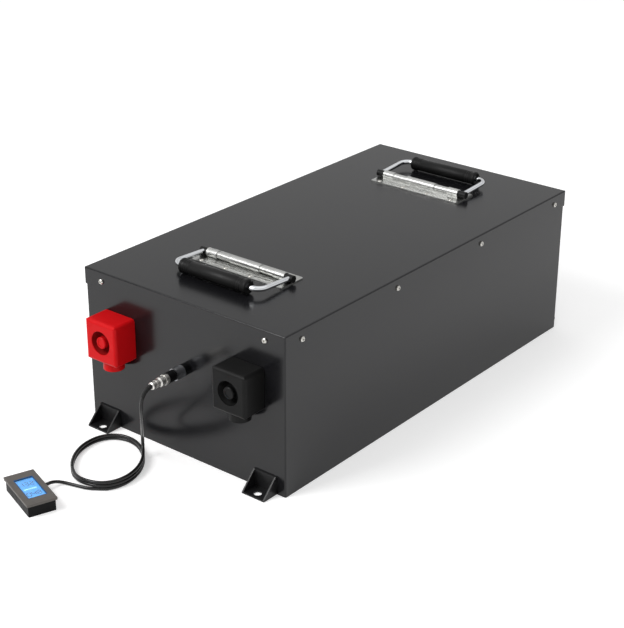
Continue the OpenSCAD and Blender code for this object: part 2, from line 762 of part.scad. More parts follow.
module signal_plug_shell() {
    color("#d9dbde")
    on_panel(signal_x, signal_z) translate([0, 0, shell_at]) {
        cylinder(d = shell_size[0], h = shell_size[1] - shell_neck);
        translate([0, 0, shell_size[1] - shell_neck])
            cylinder(d1 = shell_size[0], d2 = clamp_size[0] + 0.6, h = 2);
        cylinder(d = clamp_size[0] + 0.6, h = shell_size[1]);
        translate([0, 0, shell_band[1]])
            cylinder(d = shell_size[0] + shell_band[0], h = shell_band[1]);
    }
}

module signal_clamp_nut() {
    color("#d9dbde")
    on_panel(signal_x, signal_z) translate([0, 0, clamp_at]) {
        cylinder(d = clamp_size[0], h = clamp_size[1] - 1.5);
        translate([0, 0, clamp_size[1] - 1.5])
            cylinder(d1 = clamp_size[0], d2 = clamp_size[0] - 2.4, h = 1.5);
    }
}

module signal_boot() {
    color("#111111")
    sweep(ROUTE, [for (i = [0:boot_rings]) (boot_d[0] + (boot_d[1] - boot_d[0])*i/boot_rings)/2],
          12, FACING, 0, boot_rings);
}

// ---------- cord ----------
module cord_drop() {
    color("#131313") sweep(ROUTE, cord_r, cord_sides, FACING, boot_rings, drop_rings);
}

module cord_coil() {
    color("#131313") sweep(ROUTE, cord_r, cord_sides, [0, 0, 1], drop_rings, coil_rings);
}

module cord_tail() {
    color("#131313") sweep(ROUTE, cord_r, cord_sides, [0, 0, 1], coil_rings, len(ROUTE) - 1);
}

// ---------- meter ----------
module meter_bezel() {
    color("#57534f")
    at_meter() translate([0, 0, meter_case_h]) difference() {
        capped_box(meter_l, meter_w, bezel_t, 2, 0.8);
        translate([0, 0, -1]) linear_extrude(bezel_t + 2) square([window_l, window_w], center = true);
    }
}

module meter_case() {
    color("#121214")
    at_meter() difference() {
        linear_extrude(meter_case_h) rounded_rect(meter_case_l, meter_case_w, 1.5);
        translate([0, 0, meter_wall]) linear_extrude(meter_case_h)
            square([meter_case_l - 2*meter_wall, meter_case_w - 2*meter_wall], center = true);
        translate([grommet_s, 0, grommet_z]) rotate([-90, 0, 0])
            cylinder(d = grommet_hole_d, h = meter_w);
    }
}

module meter_display() {
    color("#5db4ff")
    at_meter() translate([0, 0, meter_case_h - display_t]) linear_extrude(display_t)
        square([window_l + 2*display_lap, window_w + 2*display_lap], center = true);
}

module meter_window() {
    color("#bfe2ff", 0.3)
    at_meter() translate([0, 0, meter_case_h]) linear_extrude(bezel_t - window_sunk)
        square([window_l - 2*snug, window_w - 2*snug], center = true);
}

module meter_board() {
    board_z = meter_case_h - display_t - meter_board_t;
    inset = 2*(meter_wall + board_gap);
    color("#1e5a34")
    at_meter() {
        translate([0, 0, board_z]) linear_extrude(meter_board_t)
            square([meter_case_l - inset, meter_case_w - inset], center = true);
        translate([meter_chip_x, 0, meter_wall]) linear_extrude(board_z - meter_wall)
            square(meter_chip, center = true);
    }
}

module meter_grommet() {
    color("#0f0f0f")
    at_meter() translate([grommet_s, meter_case_w/2, grommet_z]) rotate([-90, 0, 0]) {
        cylinder(d1 = grommet_d, d2 = cord_d + 0.8, h = grommet_l);
        translate([0, 0, -meter_wall - 1])
            cylinder(d = grommet_hole_d - 2*snug, h = meter_wall + 1 + eps);
    }
}

// ---------- inside ----------
module cell() {
    linear_extrude(cell_h) rounded_rect(cell_t, cell_w, cell_r);
    for (y = [-1, 1]) translate([0, y*terminal_off, cell_h - eps])
        cylinder(d = terminal_d, h = terminal_h + eps);
}

function bank_x(b) = -cells_across/2 + cell_t/2 + (b - 1)*(cell_t + cell_gap);
function cell_y(i) = cells_y0 + cell_w/2 + i*(cell_w + cell_gap);

module cell_bank(b) {
    color("#2f6fb0")
    for (i = [0:CELLS_PER_BANK - 1]) translate([bank_x(b), cell_y(i), cell_z]) cell();
}

// Each busbar is a comb: a strip between two banks, with a tab to every terminal on either side
module cell_busbars() {
    strip_l = cells_along - 2*terminal_off + terminal_d;
    color("#c98a4b")
    for (k = [0:BANKS]) {
        left = k == 0 ? bank_x(1) - cell_t/2 + bar_inset : bank_x(k) + bar_side;
        right = k == BANKS ? bank_x(BANKS) + cell_t/2 - bar_inset : bank_x(k + 1) - bar_side;
        translate([0, 0, bar_z]) {
            translate([left, cells_y0 + cell_w/2 - terminal_off - terminal_d/2, 0])
                cube([right - left, strip_l + cell_w - 2*terminal_off, bar_t]);
            for (i = [0:CELLS_PER_BANK - 1]) {
                if (k > 0) translate([bank_x(k), cell_y(i) + terminal_off - bar_tab_w/2, 0])
                    cube([left - bank_x(k) + eps, bar_tab_w, bar_t]);
                if (k < BANKS) translate([right - eps, cell_y(i) - terminal_off - bar_tab_w/2, 0])
                    cube([bank_x(k + 1) - right, bar_tab_w, bar_t]);
            }
        }
    }
}

module bms_heatsink() {
    fins = 9;
    fin_t = 3;
    inset = 6;
    base = 5;
    color("#8a8d91")
    translate([-heatsink[0]/2, bms_y, bms_z]) {
        cube([heatsink[0], base, heatsink[2]]);
        for (i = [0:fins - 1]) translate([inset + i*(heatsink[0] - 2*inset - fin_t)/(fins - 1),
                                               base - eps, 0])
            cube([fin_t, heatsink[1] - base + eps, heatsink[2]]);
    }
}

module bms_board() {
    transistor = [10, 9, 14];
    capacitor = [40, 13, 30];
    color("#16532e")
    translate([-board[0]/2, bms_y - board[1], bms_z]) {
        cube(board);
        for (i = [0:7]) translate([12 + i*17.5, -transistor[1], 20]) cube(transistor + [0, eps, 0]);
        for (x = [20, 100]) translate([x, -capacitor[1], 60]) cube(capacitor + [0, eps, 0]);
    }
}

// Insulating tray: a floor under the cells, a wall round them and a sheet against each side
module cell_tray() {
    tray_h = cell_h - tray_drop;
    slot_w = (inner_w - cells_across)/2 - tray_gap - cell_play - 2*tray_wall;
    color("#c7b88a")
    difference() {
        translate([-inner_w/2 + tray_gap, cells_y0 - tray_wall, case_t])
            cube([inner_w - 2*tray_gap, cells_along + 2*tray_wall, tray_h]);
        translate([-cells_across/2 - cell_play, cells_y0 - cell_play/2, cell_z])
            cube([cells_across + 2*cell_play, cells_along + cell_play, tray_h]);
        for (x = [-1, 1])
            translate([x*(inner_w/2 - tray_gap - tray_wall - slot_w/2) - slot_w/2, -case_l, cell_z])
                cube([slot_w, 2*case_l, tray_h]);
    }
}

// From the outer busbars to the studs of the power sockets: a level run, a drop and a lug
module power_leads() {
    eye_d = 18;
    eye_t = 3;
    tail = [6, 20];                         // where the tail of the lug starts, and its length
    lead_at = 24;                           // where the lead starts, over the socket axis
    run_w = 12;
    run_t = 2;
    run_lap = 40;                           // how far the level run lies over the busbar
    lug_y = panel_y + socket_thread_l + stud_flange_t + eye_t;
    for (x = [-1, 1]) {
        bar_x = x*(cells_across/2 - run_w);
        color(x < 0 ? "#b02020" : "#202020") {
            translate([x*socket_x, lug_y, socket_z]) {
                rotate([90, 0, 0]) tube(eye_d, stud_d + 2*snug, eye_t);
                translate([-lead_d/2, -eye_t, tail[0]]) cube([lead_d, eye_t, tail[1]]);
                translate([0, -eye_t/2, lead_at])
                    cylinder(d = lead_d, h = bar_z + bar_t - socket_z - lead_at);
            }
            translate([min(x*socket_x, bar_x) - run_w/2, lug_y - eye_t/2 - run_w/2, bar_z + bar_t])
                cube([abs(bar_x - x*socket_x) + run_w, run_w, run_t]);
            translate([bar_x - run_w/2, lug_y - eye_t/2 - run_w/2, bar_z + bar_t])
                cube([run_w, cells_y0 - lug_y + run_lap, run_t]);
        }
    }
}

case_body();
lid();
lid_gasket();
lid_screws();
weld_nuts();
for (i = [0:3]) bracket(i);
for (s = SIDES) {
    handle_plate(side_of(s));
    handle_bail(side_of(s));
    handle_grip(side_of(s));
    handle_bushes(side_of(s));
    handle_springs(side_of(s));
}
handle_rivets();
for (p = POLES) {
    power_socket(p);
    socket_pin(p);
    latch_ring(p);
    plug(p);
    plug_contact(p);
    release_button(p);
    button_spring(p);
}
socket_nuts();
signal_socket();
signal_nut();
coupling_ring();
signal_plug_body();
signal_plug_shell();
signal_clamp_nut();
signal_boot();
cord_drop();
cord_coil();
cord_tail();
meter_bezel();
meter_case();
meter_display();
meter_window();
meter_board();
meter_grommet();
for (b = [1:BANKS]) cell_bank(b);
cell_busbars();
bms_board();
bms_heatsink();
cell_tray();
power_leads();
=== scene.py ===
"""Looks of a deep cycle battery in a steel case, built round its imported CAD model.

All places are in the CAD model's own frame, in metres: +Z is up, +Y runs along the case
and the sockets face -Y.
"""

import logging
import math
from dataclasses import dataclass
from enum import Enum
from typing import Any, Sequence

import bmesh
import bpy
import numpy as np
from mathutils import Matrix, Vector


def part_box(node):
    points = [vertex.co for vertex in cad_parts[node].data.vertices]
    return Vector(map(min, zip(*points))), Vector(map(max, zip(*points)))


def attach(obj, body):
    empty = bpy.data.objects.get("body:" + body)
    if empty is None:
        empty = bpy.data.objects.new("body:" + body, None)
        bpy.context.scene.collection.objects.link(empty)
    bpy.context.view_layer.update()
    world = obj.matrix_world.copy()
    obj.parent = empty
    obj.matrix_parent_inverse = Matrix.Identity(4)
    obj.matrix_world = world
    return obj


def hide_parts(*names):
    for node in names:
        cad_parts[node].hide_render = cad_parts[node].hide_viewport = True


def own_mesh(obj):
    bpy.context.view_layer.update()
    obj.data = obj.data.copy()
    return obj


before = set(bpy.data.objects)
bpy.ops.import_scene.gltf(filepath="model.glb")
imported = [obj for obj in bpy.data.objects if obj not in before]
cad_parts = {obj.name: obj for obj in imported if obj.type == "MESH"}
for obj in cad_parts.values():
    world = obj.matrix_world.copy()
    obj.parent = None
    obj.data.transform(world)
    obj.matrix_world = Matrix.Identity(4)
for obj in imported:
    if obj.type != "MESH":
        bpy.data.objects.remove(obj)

log = logging.getLogger("battery")
MM = 0.001
# Points that lie nearer together than this become one.
MERGE = 0.0005 * MM
# Nearly all of a noise texture lies between these two values.
NOISE_LOW, NOISE_HIGH = 0.3, 0.7
# Degrees by which the meter lies turned about +Z.
METER_TURN = -20.0
WHITE = (1.0, 1.0, 1.0, 1.0)

Pair = tuple[float, float]
Triple = tuple[float, float, float]
Object, Node = bpy.types.Object, bpy.types.Node
Socket, Tree = bpy.types.NodeSocket, bpy.types.NodeTree


# -------- colours and nodes


def linear(hex_colour: str, alpha: float = 1.0) -> tuple[float, float, float, float]:
    """Turns an sRGB hex colour into linear light.

    Args:
        hex_colour: six hex digits, with or without a leading hash.
        alpha: the fourth value.

    Returns:
        Red, green, blue and alpha.
    """
    digits = hex_colour.lstrip("#")
    srgb = np.array([int(digits[i : i + 2], 16) for i in (0, 2, 4)]) / 255.0
    low, high = srgb / 12.92, ((srgb + 0.055) / 1.055) ** 2.4
    return (*np.where(srgb <= 0.04045, low, high).tolist(), alpha)


def add(
    tree: Tree, kind: str, settings: dict[Any, Any] | None = None,
    links: dict[Any, Socket] | None = None,
) -> Node:
    """Adds one node to a tree.

    Args:
        tree: the tree that gets the node.
        kind: the node's type name.
        settings: attributes by name, or input values by socket name or number.
        links: the output that feeds each input socket.

    Returns:
        The new node.
    """
    made = tree.nodes.new(kind)
    for key, value in (settings or {}).items():
        if isinstance(key, str) and hasattr(made, key):
            setattr(made, key, value)
        else:
            made.inputs[key].default_value = value
    for key, source in (links or {}).items():
        tree.links.new(source, made.inputs[key])
    return made


class Pattern(Enum):
    """How a surface's fine texture is laid out."""

    ORANGE_PEEL = "soft rounded dimples, as in a baked powder coat"
    FINE_GRAIN = "matt grain of a mould's face, a satin plate or a foam"
    BRUSHED = "long scratches along X"
    PLAIN = "no texture that the eye can find"


@dataclass(frozen=True)
class Finish:
    """One real surface: its colour, gloss and texture.

    Attributes:
        name: the maker's name for the surface.
        colour: its sRGB hex colour.
        shade: a second colour that it drifts to in broad, faint patches.
        roughness: the shader's roughness.
        spread: how far the roughness drifts from place to place.
        metal: whether it is bare or plated metal.
        ior: refractive index of a surface that isn't metal.
        pattern: the layout of its texture.
        grain_mm: size of one grain of the texture, or width of a scratch.
        depth_mm: height of the texture.
        patch_mm: size of a patch of drifting colour.
        gloss_level: strength of the mirror image that a surface that isn't metal gives.
        glow: strength of the light that it gives off in its own colour.
        clear: whether light passes through it.
    """

    name: str
    colour: str
    shade: str
    roughness: float
    spread: float = 0.05
    metal: bool = False
    ior: float = 1.5
    pattern: Pattern = Pattern.FINE_GRAIN
    grain_mm: float = 1.0
    depth_mm: float = 0.01
    patch_mm: float = 40.0
    gloss_level: float = 0.5
    glow: float = 0.0
    clear: bool = False

    def texture_height(self, tree: Tree, place: Socket) -> Socket:
        """Draws the texture's height.

        Args:
            tree: the material's tree.
            place: object coordinates in metres.

        Returns:
            A height from 0 to 1.
        """
        # A scratch is about 33 times as long as it is wide.
        squeeze = 0.03 if self.pattern is Pattern.BRUSHED else 1.0
        scale = {"Scale": (squeeze, 1.0, 1.0)}
        laid = add(tree, "ShaderNodeMapping", scale, {"Vector": place}).outputs["Vector"]
        detail = 4.0 if self.pattern is Pattern.FINE_GRAIN else 2.0
        look = {"Scale": 1.0 / (self.grain_mm * MM), "Detail": detail, "Roughness": 0.55}
        return add(tree, "ShaderNodeTexNoise", look, {"Vector": laid}).outputs["Fac"]

    def build(self) -> bpy.types.Material:
        """Makes the material, or returns it if it is there already."""
        found = bpy.data.materials.get(self.name)
        if found is not None:
            return found
        made = bpy.data.materials.new(self.name)
        made.use_nodes = True
        tree = made.node_tree
        shader = tree.nodes["Principled BSDF"]
        place = add(tree, "ShaderNodeTexCoord").outputs["Object"]
        broad = {"Scale": 1.0 / (self.patch_mm * MM), "Detail": 3.0}
        patches = add(tree, "ShaderNodeTexNoise", broad, {"Vector": place}).outputs["Fac"]
        colours = {"data_type": "RGBA", 6: linear(self.colour), 7: linear(self.shade)}
        mix = add(tree, "ShaderNodeMix", colours, {0: patches})
        tree.links.new(mix.outputs[2], shader.inputs["Base Color"])
        height = self.texture_height(tree, place)
        limits = {
            "From Min": NOISE_LOW, "From Max": NOISE_HIGH,
            "To Min": max(0.0, self.roughness - self.spread),
            "To Max": min(1.0, self.roughness + self.spread),
        }
        source = height if self.pattern is Pattern.BRUSHED else patches
        drift = add(tree, "ShaderNodeMapRange", limits, {"Value": source})
        tree.links.new(drift.outputs["Result"], shader.inputs["Roughness"])
        if self.pattern is not Pattern.PLAIN:
            relief = {"Strength": 1.0, "Distance": self.depth_mm * MM}
            bump = add(tree, "ShaderNodeBump", relief, {"Height": height})
            tree.links.new(bump.outputs["Normal"], shader.inputs["Normal"])
        if self.metal:
            shader.inputs["Metallic"].default_value = 1.0
        else:
            shader.inputs["IOR"].default_value = self.ior
            shader.inputs["Specular IOR Level"].default_value = self.gloss_level
        if self.glow:
            tree.links.new(mix.outputs[2], shader.inputs["Emission Color"])
            shader.inputs["Emission Strength"].default_value = self.glow
        if self.clear:
            shader.inputs["Transmission Weight"].default_value = 1.0
        return made


# Real grains and scratches here are 0.05 to 0.2 mm wide, too fine to be seen with the whole
# battery in view. They are drawn two to ten times as coarse.

# Powder coat over steel: a deep black whose grey comes from what it mirrors.
POWDER_COAT = Finish(
    "gloss_black_powder_coat", "#141415", "#17171a", 0.20, 0.03, ior=1.42,
    pattern=Pattern.ORANGE_PEEL, grain_mm=2.6, depth_mm=0.004, patch_mm=90.0,
)
# The same coat sprayed thinner on the welded brackets: less shine.
BRACKET_COAT = Finish(
    "satin_black_powder_coat", "#141415", "#1a1a1b", 0.34, 0.06, gloss_level=0.3,
    pattern=Pattern.ORANGE_PEEL, grain_mm=1.6, depth_mm=0.02, patch_mm=14.0,
)
# Chromed rod: a clear mirror with a trace of polishing haze.
CHROME = Finish(
    "polished_chrome_plate", "#e8eaec", "#dcdee2", 0.09, 0.03, metal=True,
    pattern=Pattern.ORANGE_PEEL, grain_mm=6.0, depth_mm=0.004, patch_mm=12.0,
)
# Pressed stainless plate: brushed along its length, so highlights smear across it.
BRUSHED_STAINLESS = Finish(
    "brushed_stainless_plate", "#cfcfcc", "#a8a9a8", 0.27, 0.10, metal=True,
    pattern=Pattern.BRUSHED, grain_mm=0.5, depth_mm=0.02, patch_mm=9.0,
)
# Bright nickel on screws and rivets; satin and dark nickel on the round connector.
NICKEL = Finish(
    "bright_nickel_plate", "#cfcdc8", "#bab8b2", 0.24, 0.05, metal=True,
    grain_mm=0.4, depth_mm=0.006, patch_mm=3.0,
)
SATIN_NICKEL = Finish(
    "satin_nickel_plate", "#e4e2de", "#cfcdc9", 0.38, 0.07, metal=True,
    grain_mm=0.5, depth_mm=0.01, patch_mm=3.0,
)
DARK_NICKEL = Finish(
    "dark_nickel_plate", "#b4b5b8", "#97989c", 0.34, 0.06, metal=True,
    grain_mm=0.4, depth_mm=0.006, patch_mm=3.0,
)
ZINC = Finish(
    "zinc_plated_steel", "#a9adb1", "#8f9398", 0.32, 0.08, metal=True,
    grain_mm=0.5, depth_mm=0.01, patch_mm=5.0,
)
SPRING_STEEL = Finish(
    "drawn_spring_steel", "#8d9094", "#74777b", 0.28, 0.06, metal=True,
    pattern=Pattern.BRUSHED, grain_mm=0.25, depth_mm=0.006, patch_mm=3.0,
)
# Nylon of the plugs: a grained mould gives it a low, even sheen.
RED_NYLON = Finish(
    "moulded_red_nylon", "#d50f15", "#ca0b12", 0.42, 0.05, ior=1.53, gloss_level=0.1,
    grain_mm=0.35, depth_mm=0.012, patch_mm=16.0,
)
# The red socket's nylon is the plugs' red darkened: painted shade of its place behind the plug.
SHADED_RED_NYLON = Finish(
    "moulded_red_nylon_painted_shade", "#8c1416", "#7c1013", 0.38, 0.05, ior=1.53, gloss_level=0.3,
    grain_mm=0.35, depth_mm=0.012, patch_mm=16.0,
)
BLACK_NYLON = Finish(
    "moulded_black_nylon", "#161616", "#101010", 0.42, 0.05, ior=1.53, gloss_level=0.12,
    grain_mm=0.35, depth_mm=0.012, patch_mm=16.0,
)
# Folded rubber between each release button and its plug, coloured darker than the plug's nylon:
# painted shade of the deep recess.
SHADED_RED_SEAL = Finish(
    "folded_red_seal_painted_shade", "#8a0b0b", "#780909", 0.6, 0.05, gloss_level=0.08,
    grain_mm=0.4, depth_mm=0.02, patch_mm=4.0,
)
SHADED_BLACK_SEAL = Finish(
    "folded_black_seal_painted_shade", "#080808", "#0c0c0c", 0.55, 0.05, gloss_level=0.2,
    grain_mm=0.4, depth_mm=0.02, patch_mm=4.0,
)
# Grip sleeves: filled PVC with a leathery hand.
GRIP_PVC = Finish(
    "moulded_grip_pvc", "#0d0d0d", "#080808", 0.46, 0.07, gloss_level=0.22,
    grain_mm=0.9, depth_mm=0.05, patch_mm=12.0,
)
CORD_PVC = Finish(
    "soft_black_cord_pvc", "#0e0e0e", "#090909", 0.3, 0.05, gloss_level=0.42,
    grain_mm=0.7, depth_mm=0.02, patch_mm=10.0,
)
BOOT_RUBBER = Finish(
    "black_boot_rubber", "#111111", "#0b0b0b", 0.5, 0.06, gloss_level=0.3,
    grain_mm=0.6, depth_mm=0.02, patch_mm=4.0,
)
GASKET_FOAM = Finish(
    "closed_cell_foam", "#101010", "#1c1c1c", 0.85, 0.05,
    grain_mm=0.8, depth_mm=0.08, patch_mm=6.0,
)
# Meter mouldings: ABS with the matt grain of its mould, the bezel a warm grey.
BEZEL_ABS = Finish(
    "matt_grey_abs", "#59544f", "#4d4945", 0.42, 0.06, ior=1.52,
    grain_mm=0.5, depth_mm=0.03, patch_mm=7.0,
)
METER_ABS = Finish(
    "matt_black_abs", "#0a0a0b", "#060607", 0.45, 0.06, ior=1.52, gloss_level=0.12,
    grain_mm=0.5, depth_mm=0.02, patch_mm=7.0,
)
# Liquid crystal screen: the backlight makes each part of it glow in its own colour.
SCREEN = Finish(
    "blue_backlit_screen", "#5fb4f2", "#4aa0ee", 0.25, 0.03, glow=0.55,
    grain_mm=0.6, depth_mm=0.002, patch_mm=9.0,
)
SCREEN_BAR = Finish(
    "pale_backlit_bar", "#b8ecff", "#9be2ff", 0.25, 0.03, glow=0.55,
    pattern=Pattern.PLAIN, patch_mm=5.0,
)
SCREEN_EDGE = Finish(
    "navy_screen_mask", "#0f4576", "#0c3863", 0.3, 0.05, gloss_level=0.2, glow=0.55,
    grain_mm=0.4, depth_mm=0.004, patch_mm=4.0,
)
SEGMENT_INK = Finish(
    "dark_crystal_segment", "#2c70b4", "#2766a8", 0.3, 0.04,
    pattern=Pattern.PLAIN, patch_mm=4.0,
)
# Cast sheet with polished faces, so that only its edges are seen.
ACRYLIC = Finish(
    "clear_acrylic_sheet", "#f4fbff", "#ffffff", 0.03, 0.01, ior=1.49,
    pattern=Pattern.PLAIN, patch_mm=20.0, clear=True,
)
SOLDER_MASK = Finish(
    "green_solder_mask", "#1e5a34", "#174a2a", 0.35, 0.08,
    grain_mm=0.6, depth_mm=0.02, patch_mm=5.0,
)
CELL_FILM = Finish(
    "blue_pvc_cell_film", "#2c69ab", "#25609f", 0.22, 0.05,
    pattern=Pattern.ORANGE_PEEL, grain_mm=9.0, depth_mm=0.05, patch_mm=40.0,
)
COPPER = Finish(
    "tinned_copper_bar", "#c08a5a", "#b57a48", 0.28, 0.08, metal=True,
    pattern=Pattern.BRUSHED, grain_mm=0.6, depth_mm=0.01, patch_mm=12.0,
)
BRASS = Finish(
    "turned_brass", "#c6a968", "#b59858", 0.22, 0.06, metal=True,
    pattern=Pattern.BRUSHED, grain_mm=0.3, depth_mm=0.008, patch_mm=4.0,
)
ALUMINIUM = Finish(
    "extruded_aluminium", "#a4a7aa", "#94979b", 0.34, 0.08, metal=True,
    pattern=Pattern.BRUSHED, grain_mm=0.8, depth_mm=0.02, patch_mm=15.0,
)
LAMINATE = Finish(
    "glass_epoxy_board", "#b9b27a", "#aaa26a", 0.5, 0.06,
    grain_mm=1.2, depth_mm=0.03, patch_mm=20.0,
)


# -------- surfaces


def mesh_piece(
    name: str, points: np.ndarray, faces: np.ndarray, finish: Finish, smooth: bool = True
) -> Object:
    """Puts arrays of points and four-sided faces into a new object.

    Args:
        name: the piece's name.
        points: an array of places in metres, one a row.
        faces: an array of corner numbers, four a row.
        finish: the surface that it gets.
        smooth: whether faces are shaded smooth.

    Returns:
        The new object, at the origin.
    """
    mesh = bpy.data.meshes.new(name)
    mesh.vertices.add(len(points))
    mesh.vertices.foreach_set("co", np.ascontiguousarray(points, np.float32).ravel())
    mesh.loops.add(faces.size)
    mesh.loops.foreach_set("vertex_index", np.ascontiguousarray(faces, np.int32).ravel())
    mesh.polygons.add(len(faces))
    mesh.polygons.foreach_set("loop_start", np.arange(0, faces.size, faces.shape[1]))
    mesh.polygons.foreach_set("use_smooth", np.full(len(faces), smooth))
    mesh.update(calc_edges=True)
    mesh.validate()
    mesh.materials.append(finish.build())
    made = bpy.data.objects.new(name, mesh)
    bpy.context.scene.collection.objects.link(made)
    log.info("piece %s: %d faces", name, len(faces))
    return made


def ring_faces(rings: int, around: int) -> np.ndarray:
    """Joins rings of points, one after another, into four-sided faces.

    Args:
        rings: how many rings there are.
        around: points in a ring.

    Returns:
        Corner numbers, four a face.
    """
    row, column = np.meshgrid(np.arange(rings - 1), np.arange(around), indexing="ij")
    start, after = row * around, (column + 1) % around
    corners = [start + column, start + after, start + around + after, start + around + column]
    return np.stack([c.ravel() for c in corners], axis=1)


def close_outwards(piece: Object) -> None:
    """Merges doubled points and turns every face outwards.

    Args:
        piece: the object whose mesh is closed.
    """
    work = bmesh.new()
    work.from_mesh(piece.data)
    bmesh.ops.remove_doubles(work, verts=work.verts, dist=MERGE)
    bmesh.ops.recalc_face_normals(work, faces=work.faces)
    work.to_mesh(piece.data)
    work.free()


def turned(profile: Sequence[Pair], around: int) -> np.ndarray:
    """Turns a profile about +Z: x = r cos t, y = r sin t, z = h.

    Args:
        profile: radius and height pairs in millimetres, from one end to the other.
        around: points round the axis.

    Returns:
        Points in metres, one row of the grid for each profile point.
    """
    radius, height = np.array(profile, float).T * MM
    turn = np.linspace(0, 2 * np.pi, around, endpoint=False)
    x = radius[:, None] * np.cos(turn)
    y = radius[:, None] * np.sin(turn)
    z = np.broadcast_to(height[:, None], x.shape)
    return np.stack([x, y, z], axis=2).reshape(-1, 3)


def repeated(
    points: np.ndarray, faces: np.ndarray, places: Sequence[Matrix]
) -> tuple[np.ndarray, np.ndarray]:
    """Copies a shape to several places, worked out as one array.

    Args:
        points: the shape's points.
        faces: its faces.
        places: a matrix for each copy.

    Returns:
        Points and faces of all the copies.
    """
    turns = np.array([[list(row) for row in place] for place in places])
    solid = np.concatenate([points, np.ones((len(points), 1))], axis=1)
    moved = np.einsum("kij,nj->kni", turns, solid)[..., :3].reshape(-1, 3)
    shift = (np.arange(len(places)) * len(points))[:, None, None]
    return moved, (faces[None] + shift).reshape(-1, faces.shape[1])


def along(
    path: np.ndarray, radius: np.ndarray | float, reference: np.ndarray, around: int
) -> np.ndarray:
    """Carries a circle along a path: p + r (cos t u + sin t v), u and v square to the path.

    Args:
        path: centre points in metres.
        radius: one radius, or one for each point.
        reference: a direction, or one for each point, that the path never runs along.
        around: points round the circle.

    Returns:
        Points of the tube, one row for each path point.
    """
    tangent = np.gradient(path, axis=0)
    tangent /= np.linalg.norm(tangent, axis=1, keepdims=True)
    side = np.cross(tangent, np.broadcast_to(reference, path.shape))
    side /= np.linalg.norm(side, axis=1, keepdims=True)
    up = np.cross(side, tangent)
    turn = np.linspace(0, 2 * np.pi, around, endpoint=False)
    size = np.broadcast_to(radius, (len(path),))[:, None, None]
    ring = side[:, None] * np.cos(turn)[:, None] + up[:, None] * np.sin(turn)[:, None]
    return (path[:, None] + size * ring).reshape(-1, 3)


def capped_tube(
    name: str, path: np.ndarray, radius: np.ndarray | float, reference: np.ndarray,
    finish: Finish, around: int,
) -> Object:
    """Makes a closed tube along a path, with slightly rounded ends.

    Args:
        name: the piece's name.
        path: centre points in metres.
        radius: one tube radius in metres, or one for each point.
        reference: a direction, or one a point, that the path never runs along.
        finish: its surface.
        around: points round the tube.

    Returns:
        The new object.
    """
    first, last = path[0] - path[1], path[-1] - path[-2]
    first, last = first / np.linalg.norm(first), last / np.linalg.norm(last)
    body = np.broadcast_to(radius, (len(path),))
    bulge = np.array([0.0, 0.35, 0.85])
    lift = np.array([0.12, 0.11, 0.05])[:, None]
    head = path[0] + first * lift * body[0]
    tail = path[-1] + last * lift[::-1] * body[-1]
    spine = np.concatenate([head, path, tail])
    sizes = np.concatenate([bulge * body[0], body, bulge[::-1] * body[-1]])
    if np.ndim(reference) > 1:
        reference = np.concatenate(
            [np.repeat(reference[:1], 3, 0), reference, np.repeat(reference[-1:], 3, 0)]
        )
    points = along(spine, sizes, reference, around)
    made = mesh_piece(name, points, ring_faces(len(spine), around), finish)
    close_outwards(made)
    return made


def rectangles(rows: Sequence[Triple]) -> np.ndarray:
    """Stacks rectangles on one another; a row of no size closes an end.

    Args:
        rows: half length, half width and height of each rectangle in millimetres.

    Returns:
        Points in metres, four a row.
    """
    corners = np.array([(1, 1), (-1, 1), (-1, -1), (1, -1)])
    size = np.array(rows)
    flat = size[:, None, :2] * corners
    height = np.broadcast_to(size[:, 2, None, None], (len(rows), 4, 1))
    return np.concatenate([flat, height], axis=2).reshape(-1, 3) * MM


def placed_solid(
    name: str, points: np.ndarray, around: int, places: Sequence[Matrix], finish: Finish
) -> Object:
    """Makes one piece of several copies of a shape that is built up ring by ring.

    Args:
        name: the piece's name.
        points: the shape's rings.
        around: points in a ring.
        places: a matrix for each copy.
        finish: the surface that it gets.

    Returns:
        The new object, closed and facing outwards.
    """
    faces = ring_faces(len(points) // around, around)
    made = mesh_piece(name, *repeated(points, faces, places), finish, smooth=False)
    close_outwards(made)
    return made


def turned_solid(
    name: str, outline: Sequence[Pair], around: int, places: Sequence[Matrix],
    finish: Finish, sharp: float,
) -> Object:
    """Makes one piece of several copies of a turned shape, shaded smooth.

    Args:
        name: the piece's name.
        outline: its profile, as radius and height in millimetres.
        around: points round the axis.
        places: a matrix for each copy.
        finish: the surface that it gets.
        sharp: edges where faces turn by more degrees than this stay sharp.

    Returns:
        The new object.
    """
    made = placed_solid(name, turned(outline, around), around, places, finish)
    made.data.polygons.foreach_set("use_smooth", np.ones(len(made.data.polygons), bool))
    made.data.set_sharp_from_angle(angle=math.radians(sharp))
    return made


def box_of(node: str) -> tuple[Vector, Vector, Vector]:
    """Returns the lowest corner, the highest corner and the middle of a CAD node's box."""
    low, high = (Vector(corner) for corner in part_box(node))
    return low, high, (low + high) / 2


def meter_place() -> Matrix:
    """Finds the meter's own frame: X along it, Y across it, its origin on the ground."""
    middle = box_of("meter_bezel")[2]
    turn = Matrix.Rotation(math.radians(METER_TURN), 4, "Z")
    return Matrix.Translation((middle.x, middle.y, 0.0)) @ turn


def smooth_line(points: np.ndarray, between: int) -> np.ndarray:
    """Runs a smooth line through points.

    On each stretch from b to c, with neighbours a and d, it is the four-point blend
    0.5 (2b + (c - a) t + (2a - 5b + 4c - d) t^2 + (3b - a - 3c + d) t^3).

    Args:
        points: places that the line passes through.
        between: points made for each stretch.

    Returns:
        Points of the line.
    """
    a = np.concatenate([points[:1], points[:-2]])
    b, c = points[:-1], points[1:]
    d = np.concatenate([points[2:], points[-1:]])
    t = np.linspace(0, 1, between, endpoint=False)[None, :, None]
    a, b, c, d = (q[:, None] for q in (a, b, c, d))
    dense = 0.5 * (
        2 * b + (c - a) * t + (2 * a - 5 * b + 4 * c - d) * t**2 + (3 * b - a - 3 * c + d) * t**3
    )
    return np.concatenate([dense.reshape(-1, 3), points[-1:]])


